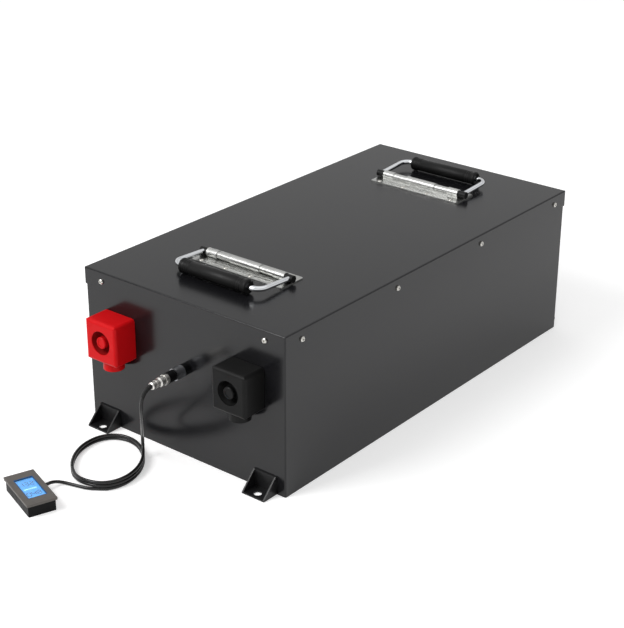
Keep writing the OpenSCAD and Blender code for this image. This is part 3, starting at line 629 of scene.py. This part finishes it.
def even(line: np.ndarray, step: float) -> np.ndarray:
    """Spaces the points of a line evenly.

    Args:
        line: points in metres.
        step: wanted spacing in metres.

    Returns:
        The resampled points.
    """
    length = np.concatenate([[0], np.cumsum(np.linalg.norm(np.diff(line, axis=0), axis=1))])
    count = max(4, int(round(length[-1] / step)) + 1)
    at = np.linspace(0, length[-1], count)
    return np.stack([np.interp(at, length, line[:, k]) for k in range(3)], axis=1)


def ease(value: np.ndarray, start: float, end: float) -> np.ndarray:
    """Returns 0 before start, 1 after end, and a smooth S between them."""
    t = np.clip((value - start) / (end - start), 0, 1)
    return t * t * (3 - 2 * t)


# -------- camera, light and floor


def direct_rays(tree: Tree) -> tuple[Node, Socket]:
    """Tells the camera's rays, straight or through glass, from all others.

    Args:
        tree: the tree of a world or a material.

    Returns:
        The tree's new Light Path node, and an output that is 1 for such rays and 0 for others.
    """
    rays = add(tree, "ShaderNodeLightPath")
    both = {0: rays.outputs["Is Camera Ray"], 1: rays.outputs["Is Transmission Ray"]}
    return rays, add(tree, "ShaderNodeMath", {"operation": "MAXIMUM"}, both).outputs[0]


@dataclass
class Studio:
    """Camera, lamps, world and floor.

    Sizes are in metres, angles in degrees and the lens in millimetres. The mirror band
    gives heights on the surround, from 0 level with the object to 1 overhead, and how
    bright a mirror image shows it there.
    """

    target: Triple = (0.003, -0.064, 0.110)
    azimuth: float = 38.77
    elevation: float = 24.78
    roll: float = 0.19
    distance: float = 2.145
    lens: float = 89.2
    ambient: float = 0.55
    mirror_band: tuple[Pair, ...] = (
        (0.02, 0.95), (0.22, 0.66), (0.55, 0.62), (0.75, 1.0),
    )
    floor_half: float = 6.0
    floor_depth: float = 0.0002
    floor_glow: float = 0.42
    floor_mirror: float = 0.36

    def build(self) -> None:
        """Makes the whole studio."""
        self.camera()
        self.world()
        self.lamps()
        self.floor()
        bpy.context.scene.view_settings.view_transform = "Standard"

    def camera(self) -> None:
        """Places the camera on its sphere round the target."""
        data = bpy.data.cameras.new("camera")
        data.lens = self.lens
        data.sensor_width = 36.0
        data.clip_start = 0.05
        made = bpy.data.objects.new("camera", data)
        around, up = math.radians(self.azimuth), math.radians(self.elevation)
        back = Vector(
            (math.sin(around) * math.cos(up), -math.cos(around) * math.cos(up), math.sin(up))
        )
        made.rotation_mode = "QUATERNION"
        look = (-back).to_track_quat("-Z", "Y")
        turn = Matrix.Rotation(math.radians(self.roll), 4, back).to_quaternion()
        made.rotation_quaternion = turn @ look
        made.location = Vector(self.target) + back * self.distance
        bpy.context.scene.collection.objects.link(made)
        bpy.context.scene.camera = made

    def world(self) -> None:
        """Makes an even white surround, dimmer where it lights rough surfaces.

        Mirror images see it fade towards a band a third of the way up, as the walls of a
        room do between a bright floor and a bright ceiling.
        """
        made = bpy.data.worlds.new("surround")
        made.use_nodes = True
        bpy.context.scene.world = made
        tree = made.node_tree
        tree.nodes.clear()
        rays, direct = direct_rays(tree)
        ray = add(tree, "ShaderNodeTexCoord").outputs["Generated"]
        height = add(tree, "ShaderNodeSeparateXYZ", None, {0: ray}).outputs["Z"]
        ramp = add(tree, "ShaderNodeValToRGB", None, {"Fac": height})
        band = ramp.color_ramp
        band.interpolation = "EASE"
        for place, level in self.mirror_band:
            stop = band.elements.new(place)
            stop.color = (level, level, level, 1.0)
        for spare in (band.elements[-1], band.elements[0]):
            band.elements.remove(spare)
        levels = {"To Min": self.ambient, "To Max": 1.0}
        plain = add(tree, "ShaderNodeMapRange", levels, {"Value": direct}).outputs["Result"]
        choice = {0: rays.outputs["Is Glossy Ray"], 2: plain, 3: ramp.outputs["Color"]}
        strength = add(tree, "ShaderNodeMix", {"data_type": "FLOAT"}, choice).outputs[0]
        light = add(tree, "ShaderNodeBackground", {"Color": WHITE}, {"Strength": strength})
        add(tree, "ShaderNodeOutputWorld", None, {"Surface": light.outputs[0]})

    def lamps(self) -> None:
        """Hangs a broad key lamp at the upper left and a weak fill."""
        self.area("key_lamp", (-1.1, -2.2, 2.4), size=1.6, power=62.0, mirrored=True)
        self.area("fill_lamp", (2.2, 0.4, 1.9), size=1.8, power=10.0, mirrored=False)

    def area(self, name: str, place: Triple, size: float, power: float, mirrored: bool) -> None:
        """Adds a square soft lamp that faces the battery.

        Args:
            name: the lamp's name.
            place: where it hangs, in metres.
            size: its side in metres.
            power: its power in watts.
            mirrored: whether shiny surfaces show it.
        """
        data = bpy.data.lights.new(name, "AREA")
        data.shape = "SQUARE"
        data.size = size
        data.energy = power
        made = bpy.data.objects.new(name, data)
        made.location = place
        aim = Vector(self.target) - Vector(place)
        made.rotation_euler = aim.to_track_quat("-Z", "Y").to_euler()
        made.visible_glossy = mirrored
        bpy.context.scene.collection.objects.link(made)

    def floor(self) -> None:
        """Lays a pale floor that keeps the shadow and otherwise looks white."""
        side = np.array([-self.floor_half, self.floor_half])
        x, y = np.meshgrid(side, side, indexing="ij")
        points = np.stack([x.ravel(), y.ravel(), np.full(4, -self.floor_depth)], axis=1)
        sheet = Finish(
            "pale_studio_floor", "#f2f2f2", "#efefef", 0.8, 0.02,
            pattern=Pattern.PLAIN, patch_mm=900.0,
        )
        made = mesh_piece("studio_floor", points, np.array([[0, 2, 3, 1]]), sheet, False)
        tree = made.data.materials[0].node_tree
        shader = tree.nodes["Principled BSDF"]
        rays, direct = direct_rays(tree)
        seen = {"operation": "MULTIPLY", 1: self.floor_glow}
        glow = add(tree, "ShaderNodeMath", seen, {0: direct}).outputs[0]
        mirror = {"operation": "MULTIPLY_ADD", 1: self.floor_mirror}
        lift = add(tree, "ShaderNodeMath", mirror, {0: rays.outputs["Is Glossy Ray"], 2: glow})
        shader.inputs["Emission Color"].default_value = WHITE
        tree.links.new(lift.outputs[0], shader.inputs["Emission Strength"])
        shader.inputs["Specular IOR Level"].default_value = 0.0


# -------- signal cord


@dataclass
class SignalCord:
    """The thin cord from the signal connector, through its coil, to the meter.

    All its sizes are in millimetres and degrees. The boot over its first stretch bends it
    down; it lands on a coil of stacked turns, leaves that on the ground and climbs to the
    meter's grommet. The drop is measured from the clamp nut, the fall and the tail from the
    front panel, and the fall's heights are shares of the clamp nut's height.

    Attributes:
        facing: a level direction that neither the boot's bend nor the fall runs along.
        boot_points: how many points of the drop lie inside the boot.
        even_angles: start, end and step of the evenly spaced places on the coil.
        layer_pitch: height of a layer of turns, as a share of the diameter.
        descents: angles between which the coil steps down by a layer.
        landing_angles: start, end and step of the bend on which the cord lands.
        grommet: the grommet's end in the meter's frame.
        approach: distances from the grommet on which the cord runs straight.
        lying: heights between which the fall goes over into lying flat.
        between: points made on the line for each given point.
    """

    diameter: float = 4.4
    boot_width: Pair = (6.8, 5.4)
    facing: Triple = (0.78, 0.626, 0.0)
    drop: tuple[Triple, ...] = (
        (0, -0.5, 0), (0, -3, -0.2), (-0.1, -7, -1.7), (-0.4, -10.8, -4.8),
        (-0.8, -13.8, -9.4), (-1.4, -15.6, -15.4), (-2.6, -15.6, -23),
    )
    fall: tuple[Triple, ...] = (
        (1.4, -77.3, 0.738), (-4.6, -71.4, 0.641), (-11.6, -64.4, 0.543),
        (-19.2, -56.9, 0.449), (-26.6, -49.7, 0.363), (-33, -43.6, 0.298),
    )
    tail: tuple[Triple, ...] = (
        (-34, -138.9, 0), (-45.8, -143, 0), (-58.2, -146.4, 0.1), (-67.6, -150.4, 1),
        (-72.6, -157, 3.2), (-73.7, -165, 5.4),
    )
    boot_points: int = 5
    centre: Pair = (-60.6, -80.0)
    coil_turn: float = 38.75
    half_short: float = 44.8
    half_long: float = 64.2
    first_angles: tuple[float, ...] = (-10.0, -3.0, 6.0, 18.0)
    even_angles: Triple = (32.0, 790.0, 16.0)
    last_angles: tuple[float, ...] = (797.0, 805.0)
    layers: int = 3
    layer_pitch: float = 1.02
    descents: tuple[Pair, ...] = ((105.0, 160.0), (465.0, 520.0))
    landing_radius: float = 12.0
    landing_angles: Triple = (130.0, 0.0, -26.0)
    grommet: Triple = (-12.0, 23.0, 8.0)
    approach: tuple[float, ...] = (4.0, 0.5)
    lying: Pair = (4.0, 20.0)
    ribs: int = 5
    rib_depth: float = 0.45
    rib_delay: float = 0.6
    ribbed_share: float = 0.9
    between: int = 12
    cord_step: float = 2.4
    boot_step: float = 0.4

    def coil(self, angle: np.ndarray) -> np.ndarray:
        """Winds the turns on an ellipse, each a layer lower than the last.

        Args:
            angle: places along the coil.

        Returns:
            Points, out from the front panel.
        """
        turn, t = np.radians(self.coil_turn), np.radians(angle)
        x, y = self.half_short * np.cos(t), self.half_long * np.sin(t)
        layer = self.layers - sum(ease(angle, *descent) for descent in self.descents)
        return np.stack([
            self.centre[0] + x * np.cos(turn) + y * np.sin(turn),
            self.centre[1] + x * np.sin(turn) - y * np.cos(turn),
            self.layer_pitch * self.diameter * (layer - 0.5),
        ], axis=-1)

    def landing(self) -> np.ndarray:
        """Bends the falling cord round to run level where the coil starts."""
        start = self.coil(np.array(self.first_angles[0]))
        ahead = self.coil(np.array(self.first_angles[0] + 1.0)) - start
        ahead /= np.linalg.norm(ahead)
        t = np.radians(np.arange(*self.landing_angles))[:, None]
        rise = self.landing_radius * (1 - np.cos(t)) * np.array([0.0, 0.0, 1.0])
        return start - self.landing_radius * np.sin(t) * ahead + rise

    def path(
        self, clamp: np.ndarray, panel: float, end: np.ndarray, outwards: np.ndarray
    ) -> np.ndarray:
        """Joins the boot's bend, the fall, the coil and the tail into one line.

        Args:
            clamp: middle of the clamp nut's end face.
            panel: the front panel's place along Y.
            end: the end of the grommet.
            outwards: the direction that the grommet points in.

        Returns:
            Points in millimetres.
        """
        out = np.array([0.0, panel, 0.0])
        fall = np.array(self.fall) * [1.0, 1.0, clamp[2]]
        tail = np.array(self.tail) + [0.0, 0.0, self.layer_pitch * self.diameter / 2]
        angles = np.concatenate(
            [self.first_angles, np.arange(*self.even_angles), self.last_angles]
        )
        into = end + np.array(self.approach)[:, None] * outwards
        parts = [clamp + np.array(self.drop), out + fall, out + self.landing()]
        parts += [out + self.coil(angles), out + tail, into]
        return smooth_line(np.concatenate(parts), self.between)

    def build(self) -> None:
        clamp_low, clamp_high = (np.array(c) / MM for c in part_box("signal_clamp_nut"))
        clamp = (clamp_low + clamp_high) / 2
        clamp[1] = clamp_low[1]
        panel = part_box("case_body")[0][1] / MM
        place = meter_place()
        end = np.array(place @ (Vector(self.grommet) * MM)) / MM
        outwards = np.array(place.to_3x3() @ Vector((0.0, 1.0, 0.0)))
        line = self.path(clamp, panel, end, outwards) * MM
        boot_end = (self.boot_points - 1) * self.between
        boot = self.boot(np.concatenate([[clamp * MM], line[: boot_end + 1]]))
        path = even(np.concatenate([line[boot_end:], [end * MM]]), self.cord_step * MM)
        low = 1 - ease(path[:, 2] / MM, *self.lying)[:, None]
        reference = (1 - low) * np.array(self.facing) + low * np.array([0.0, 0.0, 1.0])
        width = self.diameter * MM
        made = capped_tube("signal_cord", path, width / 2, reference, CORD_PVC, around=14)
        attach(made, "battery")
        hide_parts("cord_drop", "cord_coil", "cord_tail")

    def boot(self, line: np.ndarray) -> Object:
        """Makes the tapered boot, with soft ribs that let it bend.

        Args:
            line: its centre points in metres.

        Returns:
            The boot.
        """
        line = even(line, self.boot_step * MM)
        share = np.linspace(0.0, 1.0, len(line))
        taper = self.boot_width[0] + (self.boot_width[1] - self.boot_width[0]) * share
        wave = np.sin(2 * np.pi * self.ribs * share - self.rib_delay)
        groove = self.rib_depth * np.clip(wave, 0, 1) * (share < self.ribbed_share)
        made = capped_tube(
            "signal_boot_sleeve", line, (taper / 2 - groove) * MM, np.array(self.facing),
            BOOT_RUBBER, around=24,
        )
        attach(made, "battery")
        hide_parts("signal_boot")
        return made


# -------- plugs


@dataclass
class PlugSeals:
    """The folded rubber seal round each release button, and the spring behind it.

    Sizes are in millimetres: the recess is 32.5 across and 8 deep, the button 16 across.
    """

    recess_depth: float = 8.0
    outside: float = 16.1
    inside: float = 8.6
    gap: float = 0.08
    lip_width: float = 1.4
    lip_height: float = 6.9
    folds: int = 4
    fold_points: int = 6
    fold_floor: float = 1.2
    fold_height: float = 1.7
    fold_fade: float = 0.25
    wire: float = 0.8
    coils: int = 2
    coil_points: int = 24
    travel: float = 3.06

    def profile(self) -> list[Pair]:
        """Draws the closed outline of radius and height, its folds a fading cosine wave."""
        share = np.linspace(0.0, 1.0, self.fold_points * self.folds + 1)
        crest = 0.5 + 0.5 * np.cos(2 * np.pi * self.folds * share)
        lip = self.outside - self.lip_width
        radius = lip + (self.inside - lip) * share
        height = self.fold_floor + self.fold_height * crest * (1 - self.fold_fade * share)
        rim = [(self.outside, self.gap), (self.outside, self.lip_height)]
        return rim + list(zip(radius, height)) + [(self.inside, self.gap), rim[0]]

    def spring(self, pole: str) -> None:
        """Winds the spring behind a release button; it rides on the plug."""
        low, high, middle = box_of(f"button_spring_{pole}")
        reach = self.wire * MM / 2
        radius = (high.x - low.x) / 2 - reach
        turn = np.linspace(0, 2 * np.pi * self.coils, self.coil_points * self.coils + 1)
        path = np.stack([
            middle.x + radius * np.cos(turn),
            np.linspace(high.y - reach, low.y + reach, len(turn)),
            middle.z + radius * np.sin(turn),
        ], axis=1)
        made = capped_tube(
            f"button_coil_{pole}", path, reach, np.array([0.0, 1.0, 0.0]), SPRING_STEEL,
            around=8,
        )
        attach(made, f"{pole}_plug")
        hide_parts(f"button_spring_{pole}")
        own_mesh(made)

    def build(self) -> None:
        """Makes both seals and both springs."""
        # The seals' colours are darker than their plugs': painted shade of the recess.
        for pole, finish in (("red", SHADED_RED_SEAL), ("black", SHADED_BLACK_SEAL)):
            middle = box_of(f"release_button_{pole}")[2]
            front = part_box(f"plug_{pole}")[0][1]
            floor = Vector((middle.x, front + self.recess_depth * MM, middle.z))
            place = Matrix.Translation(floor) @ Matrix.Rotation(math.pi / 2, 4, "X")
            seal = turned_solid(
                f"button_seal_{pole}", self.profile(), 48, [place], finish, sharp=50.0
            )
            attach(seal, f"{pole}_plug")
            self.spring(pole)


# -------- handles


@dataclass
class HandleTrim:
    """Moulded grips, headed rivets, and the ridges and folds of the plates.

    Sizes are in millimetres.

    Attributes:
        shoulder: depth of the rounding at either side of a collar's inner edge.
        groove_places: shares of half the grip's length.
        groove_shape: places along the grip, each with a share of the groove's depth.
        plate, lid: thickness of their sheet.
        ridge: length, width and height of a pressed ridge.
        ridge_wall: share of its height that stands straight.
        fold: how much thicker the barrel is where the sheet is folded over once more.
    """

    bore: float = 3.55
    bore_edge: float = 0.6
    body: float = 9.3
    collar: float = 10.0
    collar_length: float = 4.0
    collar_corner: float = 1.6
    shoulder: float = 0.15
    shoulder_places: tuple[float, ...] = (0.5, 0.12, -0.12, -0.6)
    groove_depth: float = 0.45
    groove_places: tuple[float, ...] = (0.84, 0.78, 0.72)
    groove_shape: tuple[Pair, ...] = (
        (0.9, 0.0), (0.5, 0.8), (0.0, 1.0), (-0.5, 0.8), (-0.9, 0.0),
    )
    rivet: float = 4.0
    rivet_head: float = 6.6
    rivet_dome: float = 1.4
    rivet_tail: float = 1.5
    tail_rim: float = 1.0
    rivet_inset: Pair = (13.5, 4.75)
    plate: float = 1.5
    lid: float = 1.2
    ridge: Triple = (3.2, 1.3, 1.1)
    ridge_sink: float = 0.2
    ridge_wall: float = 0.25
    ridge_edge: float = 0.25
    ridge_rows: tuple[float, ...] = (-16.5, 10.0, 15.0)
    ridge_pitch: float = 5.4
    ridge_count: int = 9
    barrel: float = 5.0
    barrel_half: float = 66.0
    fold: float = 1.1
    fold_sink: float = 0.1
    fold_edge: float = 0.25

    def grip_profile(self, half: float) -> list[Pair]:
        """Draws half a grip, from its end to its middle.

        Args:
            half: half its length.

        Returns:
            Radius and distance from the middle.
        """
        inner, edge = half - self.collar_length, self.bore_edge
        across, along_grip = self.collar - self.collar_corner, half - self.collar_corner
        outline = [(self.bore, half - edge), (self.bore + edge, half), (across, half)]
        for t in np.radians([22.5, 45.0, 67.5, 90.0]):
            bend = (self.collar_corner * math.sin(t), self.collar_corner * math.cos(t))
            outline.append((across + bend[0], along_grip + bend[1]))
        radii = (self.collar, self.collar - self.shoulder, self.body + self.shoulder, self.body)
        outline += [(r, inner + shift) for r, shift in zip(radii, self.shoulder_places)]
        for place in self.groove_places:
            for shift, depth in self.groove_shape:
                outline.append((self.body - self.groove_depth * depth, place * half + shift))
        return outline

    def grip(self, end: str) -> None:
        """Makes one grip.

        Args:
            end: front or rear.
        """
        low, high, middle = box_of(f"handle_grip_{end}")
        near = self.grip_profile((high.x - low.x) / 2 / MM)
        outline = near + [(r, -h) for r, h in reversed(near)] + [near[0]]
        place = Matrix.Translation(middle) @ Matrix.Rotation(math.pi / 2, 4, "Y")
        made = turned_solid(f"grip_sleeve_{end}", outline, 56, [place], GRIP_PVC, sharp=50.0)
        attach(made, f"{end}_handle")
        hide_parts(f"handle_grip_{end}")

    def rivets(self) -> None:
        """Makes the rivets of both plates: domed heads over the plates, tails under the lid."""
        head, shank = self.rivet_head / 2, self.rivet / 2
        rim, foot = shank + self.tail_rim, -self.lid - self.rivet_tail
        outline = [(0.0, foot), (rim, foot), (rim, -self.lid), (shank, -self.lid)]
        outline += [(shank, self.plate), (head, self.plate)]
        for t in np.radians([15.0, 30.0, 45.0, 60.0, 75.0]):
            outline.append((head * math.cos(t), self.plate + self.rivet_dome * math.sin(t)))
        outline.append((0.0, self.plate + self.rivet_dome))
        places = []
        for end in ("front", "rear"):
            low, high, middle = box_of(f"handle_plate_{end}")
            reach_x = (high.x - low.x) / 2 - self.rivet_inset[0] * MM
            reach_y = (high.y - low.y) / 2 - self.rivet_inset[1] * MM
            for share in (-1, -1 / 3, 1 / 3, 1):
                for side in (-1, 1):
                    spot = (middle.x + share * reach_x, middle.y + side * reach_y, low.z)
                    places.append(Matrix.Translation(spot))
        made = turned_solid("rivet_heads", outline, 24, places, NICKEL, sharp=40.0)
        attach(made, "battery")
        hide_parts("handle_rivets")

    def pressed_rows(self) -> None:
        """Makes the staggered rows of short pressed ridges between the ribs of the plates."""
        half_x, half_y, rise = self.ridge[0] / 2, self.ridge[1] / 2, self.ridge[2]
        foot, edge = -self.ridge_sink, self.ridge_edge
        ridge = rectangles(
            [(0, 0, foot), (half_x, half_y, foot), (half_x, half_y, self.ridge_wall * rise),
             (half_x - edge, half_y - edge, rise), (0, 0, rise)]
        )
        places = []
        for end, sign in (("front", -1), ("rear", 1)):
            low, _, middle = box_of(f"handle_plate_{end}")
            for row, y in enumerate(self.ridge_rows):
                for step in range(-self.ridge_count, self.ridge_count + 1):
                    x = (step + 0.5 * (row % 2)) * self.ridge_pitch
                    spot = (middle.x + x * MM, middle.y + sign * y * MM, low.z + self.plate * MM)
                    places.append(Matrix.Translation(spot))
        made = placed_solid("pressed_ridges", ridge, 4, places, BRUSHED_STAINLESS)
        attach(made, "battery")

    def knuckles(self, name: str, half: float, shares: Sequence[float]) -> None:
        """Makes the stretches of the barrels where the sheet is folded over once more.

        Args:
            name: the piece's name.
            half: half the length of a stretch.
            shares: their places along the barrel, from -1 at one end to 1 at the other.
        """
        inner, outer = self.barrel - self.fold_sink, self.barrel + self.fold
        edge = self.fold_edge
        outline = [(inner, -half), (outer - edge, -half), (outer, edge - half)]
        outline += [(outer, half - edge), (outer - edge, half), (inner, half), (inner, -half)]
        places = []
        for end in ("front", "rear"):
            middle = box_of(f"handle_springs_{end}")[2]
            for share in shares:
                shift = Vector((share * (self.barrel_half - half) * MM, 0.0, 0.0))
                spot = Matrix.Translation(middle + shift)
                places.append(spot @ Matrix.Rotation(math.pi / 2, 4, "Y"))
        made = turned_solid(name, outline, 32, places, BRUSHED_STAINLESS, sharp=30.0)
        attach(made, "battery")

    def build(self) -> None:
        """Makes the grips, the rivets, the pressed ridges and the folds of the barrels."""
        for end in ("front", "rear"):
            self.grip(end)
        self.rivets()
        self.pressed_rows()
        self.knuckles("end_knuckles", half=9.0, shares=(-1.0, 1.0))
        self.knuckles("middle_knuckles", half=25.0, shares=(0.0,))


# -------- meter


@dataclass
class MeterFace:
    """The lit screen of the meter: a navy mask, a pale bar, two rows of digits, a clear sheet.

    Sizes are in millimetres in the meter's own frame, with heights from the ground. The
    screen is read across its short side, and its top is towards -X. The bar's share is one
    of the screen's width, and the stroke's gap is a share of the stroke.
    """

    half_length: float = 24.7
    half_width: float = 12.45
    glass: float = 15.0
    sheet_heights: tuple[float, float, float, float] = (15.9, 16.2, 16.7, 17.0)
    sheet_edge: float = 0.3
    mask_heights: Triple = (17.02, 17.7, 17.85)
    mask_width: float = 1.0
    lift: float = 0.02
    bar_top: float = 0.14
    bar_half: float = 1.3
    bar_share: float = 0.66
    digit_top: float = 0.12
    digit: Pair = (4.6, 8.6)
    stroke: float = 1.1
    stroke_gap: float = 0.62
    pitch: float = 6.6
    rows: tuple[tuple[str, float], ...] = (("132", 12.6), ("048", -12.6))

    # Strokes of a digit in the order top, upper left, upper right, middle, lower left,
    # lower right, bottom.
    strokes = {
        "0": "1110111", "1": "0010010", "2": "1011101", "3": "1011011", "4": "0111010",
        "8": "1111111",
    }

    def block(self, half_x: float, half_y: float, low: float, high: float) -> np.ndarray:
        """Makes the rings of a plain closed block that reaches from low to high."""
        return rectangles(
            [(0, 0, low), (half_x, half_y, low), (half_x, half_y, high), (0, 0, high)]
        )

    def digit_places(self) -> tuple[list[Matrix], list[Matrix]]:
        """Finds the places of the lit strokes that run across, and of those that run up."""
        across, upright = [], []
        width, height = self.digit
        for text, row in self.rows:
            for index, sign in enumerate(text):
                u = (index - (len(text) - 1) / 2) * self.pitch
                lit = [on == "1" for on in self.strokes[sign]]
                for shift, on in zip((height / 2, 0, -height / 2), (lit[0], lit[3], lit[6])):
                    if on:
                        across.append(self.spot(u, row + shift))
                for side, upper, on in (
                    (-1, 1, lit[1]), (1, 1, lit[2]), (-1, -1, lit[4]), (1, -1, lit[5]),
                ):
                    if on:
                        upright.append(self.spot(u + side * width / 2, row + upper * height / 4))
        return across, upright

    def spot(self, right: float, up: float) -> Matrix:
        """Turns a place on the screen, as it is read, into a matrix."""
        return meter_place() @ Matrix.Translation((-up * MM, right * MM, 0.0))

    def build(self) -> None:
        """Makes every layer over the CAD display."""
        x, y, edge = self.half_length, self.half_width, self.mask_width
        foot, inner, outer = self.mask_heights
        ring = [(x, y, foot), (x, y, outer), (x - edge, y - edge, inner)]
        ring += [(x - edge, y - edge, foot), ring[0]]
        low, digit_top = self.glass + self.lift, self.glass + self.digit_top
        bar = self.block(self.bar_half, self.bar_share * y, low, self.glass + self.bar_top)
        width, height = self.digit
        reach, gap = self.stroke / 2, self.stroke * self.stroke_gap
        flat = self.block(reach, width / 2 - gap, low, digit_top)
        post = self.block(height / 4 - gap, reach, low, digit_top)
        bars, posts = self.digit_places()
        here = [meter_place()]
        under, lower, upper, over = self.sheet_heights
        short_x, short_y = x - self.sheet_edge, y - self.sheet_edge
        sheet = rectangles(
            [(0, 0, under), (short_x, short_y, under), (x, y, lower), (x, y, upper),
             (short_x, short_y, over), (0, 0, over)]
        )
        layers = (
            ("screen_mask", rectangles(ring), here, SCREEN_EDGE, "bezel_plastic"),
            ("screen_bar", bar, here, SCREEN_BAR, "display_glass"),
            ("digit_bars", flat, bars, SEGMENT_INK, "display_glass"),
            ("digit_posts", post, posts, SEGMENT_INK, "display_glass"),
            ("screen_sheet", sheet, here, ACRYLIC, "clear_window"),
        )
        for name, points, places, finish, slot in layers:
            made = placed_solid(name, points, 4, places, finish)
            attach(made, "battery")
            if name == "screen_sheet":
                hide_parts("meter_window")


# -------- finishes of the CAD nodes


class Dressing:
    """Gives every CAD node the finish of its real material."""

    finishes: dict[str, Finish] = {
        "case_body": POWDER_COAT, "lid": POWDER_COAT, "lid_gasket": GASKET_FOAM,
        "lid_screws": NICKEL, "weld_nuts": ZINC, "bracket": BRACKET_COAT,
        "handle_plate": BRUSHED_STAINLESS, "handle_bail": CHROME, "handle_grip": GRIP_PVC,
        "handle_bushes": GRIP_PVC, "handle_springs": SPRING_STEEL, "handle_rivets": NICKEL,
        "power_socket_red": SHADED_RED_NYLON, "power_socket_black": BLACK_NYLON,
        "socket_pin": BRASS, "latch_ring": ZINC, "plug_red": RED_NYLON,
        "plug_black": BLACK_NYLON, "plug_contact": COPPER, "release_button_red": RED_NYLON,
        "release_button_black": BLACK_NYLON, "button_spring": SPRING_STEEL,
        "socket_nuts": BLACK_NYLON, "signal_socket": METER_ABS, "signal_nut": ZINC,
        "coupling_ring": DARK_NICKEL, "signal_plug_body": METER_ABS,
        "signal_plug_shell": SATIN_NICKEL, "signal_clamp_nut": SATIN_NICKEL,
        "signal_boot": BOOT_RUBBER, "cord": CORD_PVC, "meter_bezel": BEZEL_ABS,
        "meter_case": METER_ABS, "meter_display": SCREEN, "meter_window": ACRYLIC,
        "meter_board": SOLDER_MASK, "meter_grommet": BOOT_RUBBER, "cell_bank": CELL_FILM,
        "cell_busbars": COPPER, "bms_board": SOLDER_MASK, "bms_heatsink": ALUMINIUM,
        "cell_tray": LAMINATE, "power_leads": COPPER,
    }

    def build(self) -> None:
        """Finds the longest matching name for each node and assigns its finish."""
        for name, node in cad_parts.items():
            key = max((k for k in self.finishes if name.startswith(k)), key=len)
            node.data.materials.clear()
            node.data.materials.append(self.finishes[key].build())
            log.info("dressed %s as %s", name, self.finishes[key].name)


def main() -> None:
    """Builds the studio and every sub-assembly in order."""
    logging.basicConfig(level=logging.INFO, format="%(name)s: %(message)s")
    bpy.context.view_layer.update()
    Studio().build()
    SignalCord().build()
    PlugSeals().build()
    HandleTrim().build()
    MeterFace().build()
    Dressing().build()


if __name__ == "__main__":
    main()
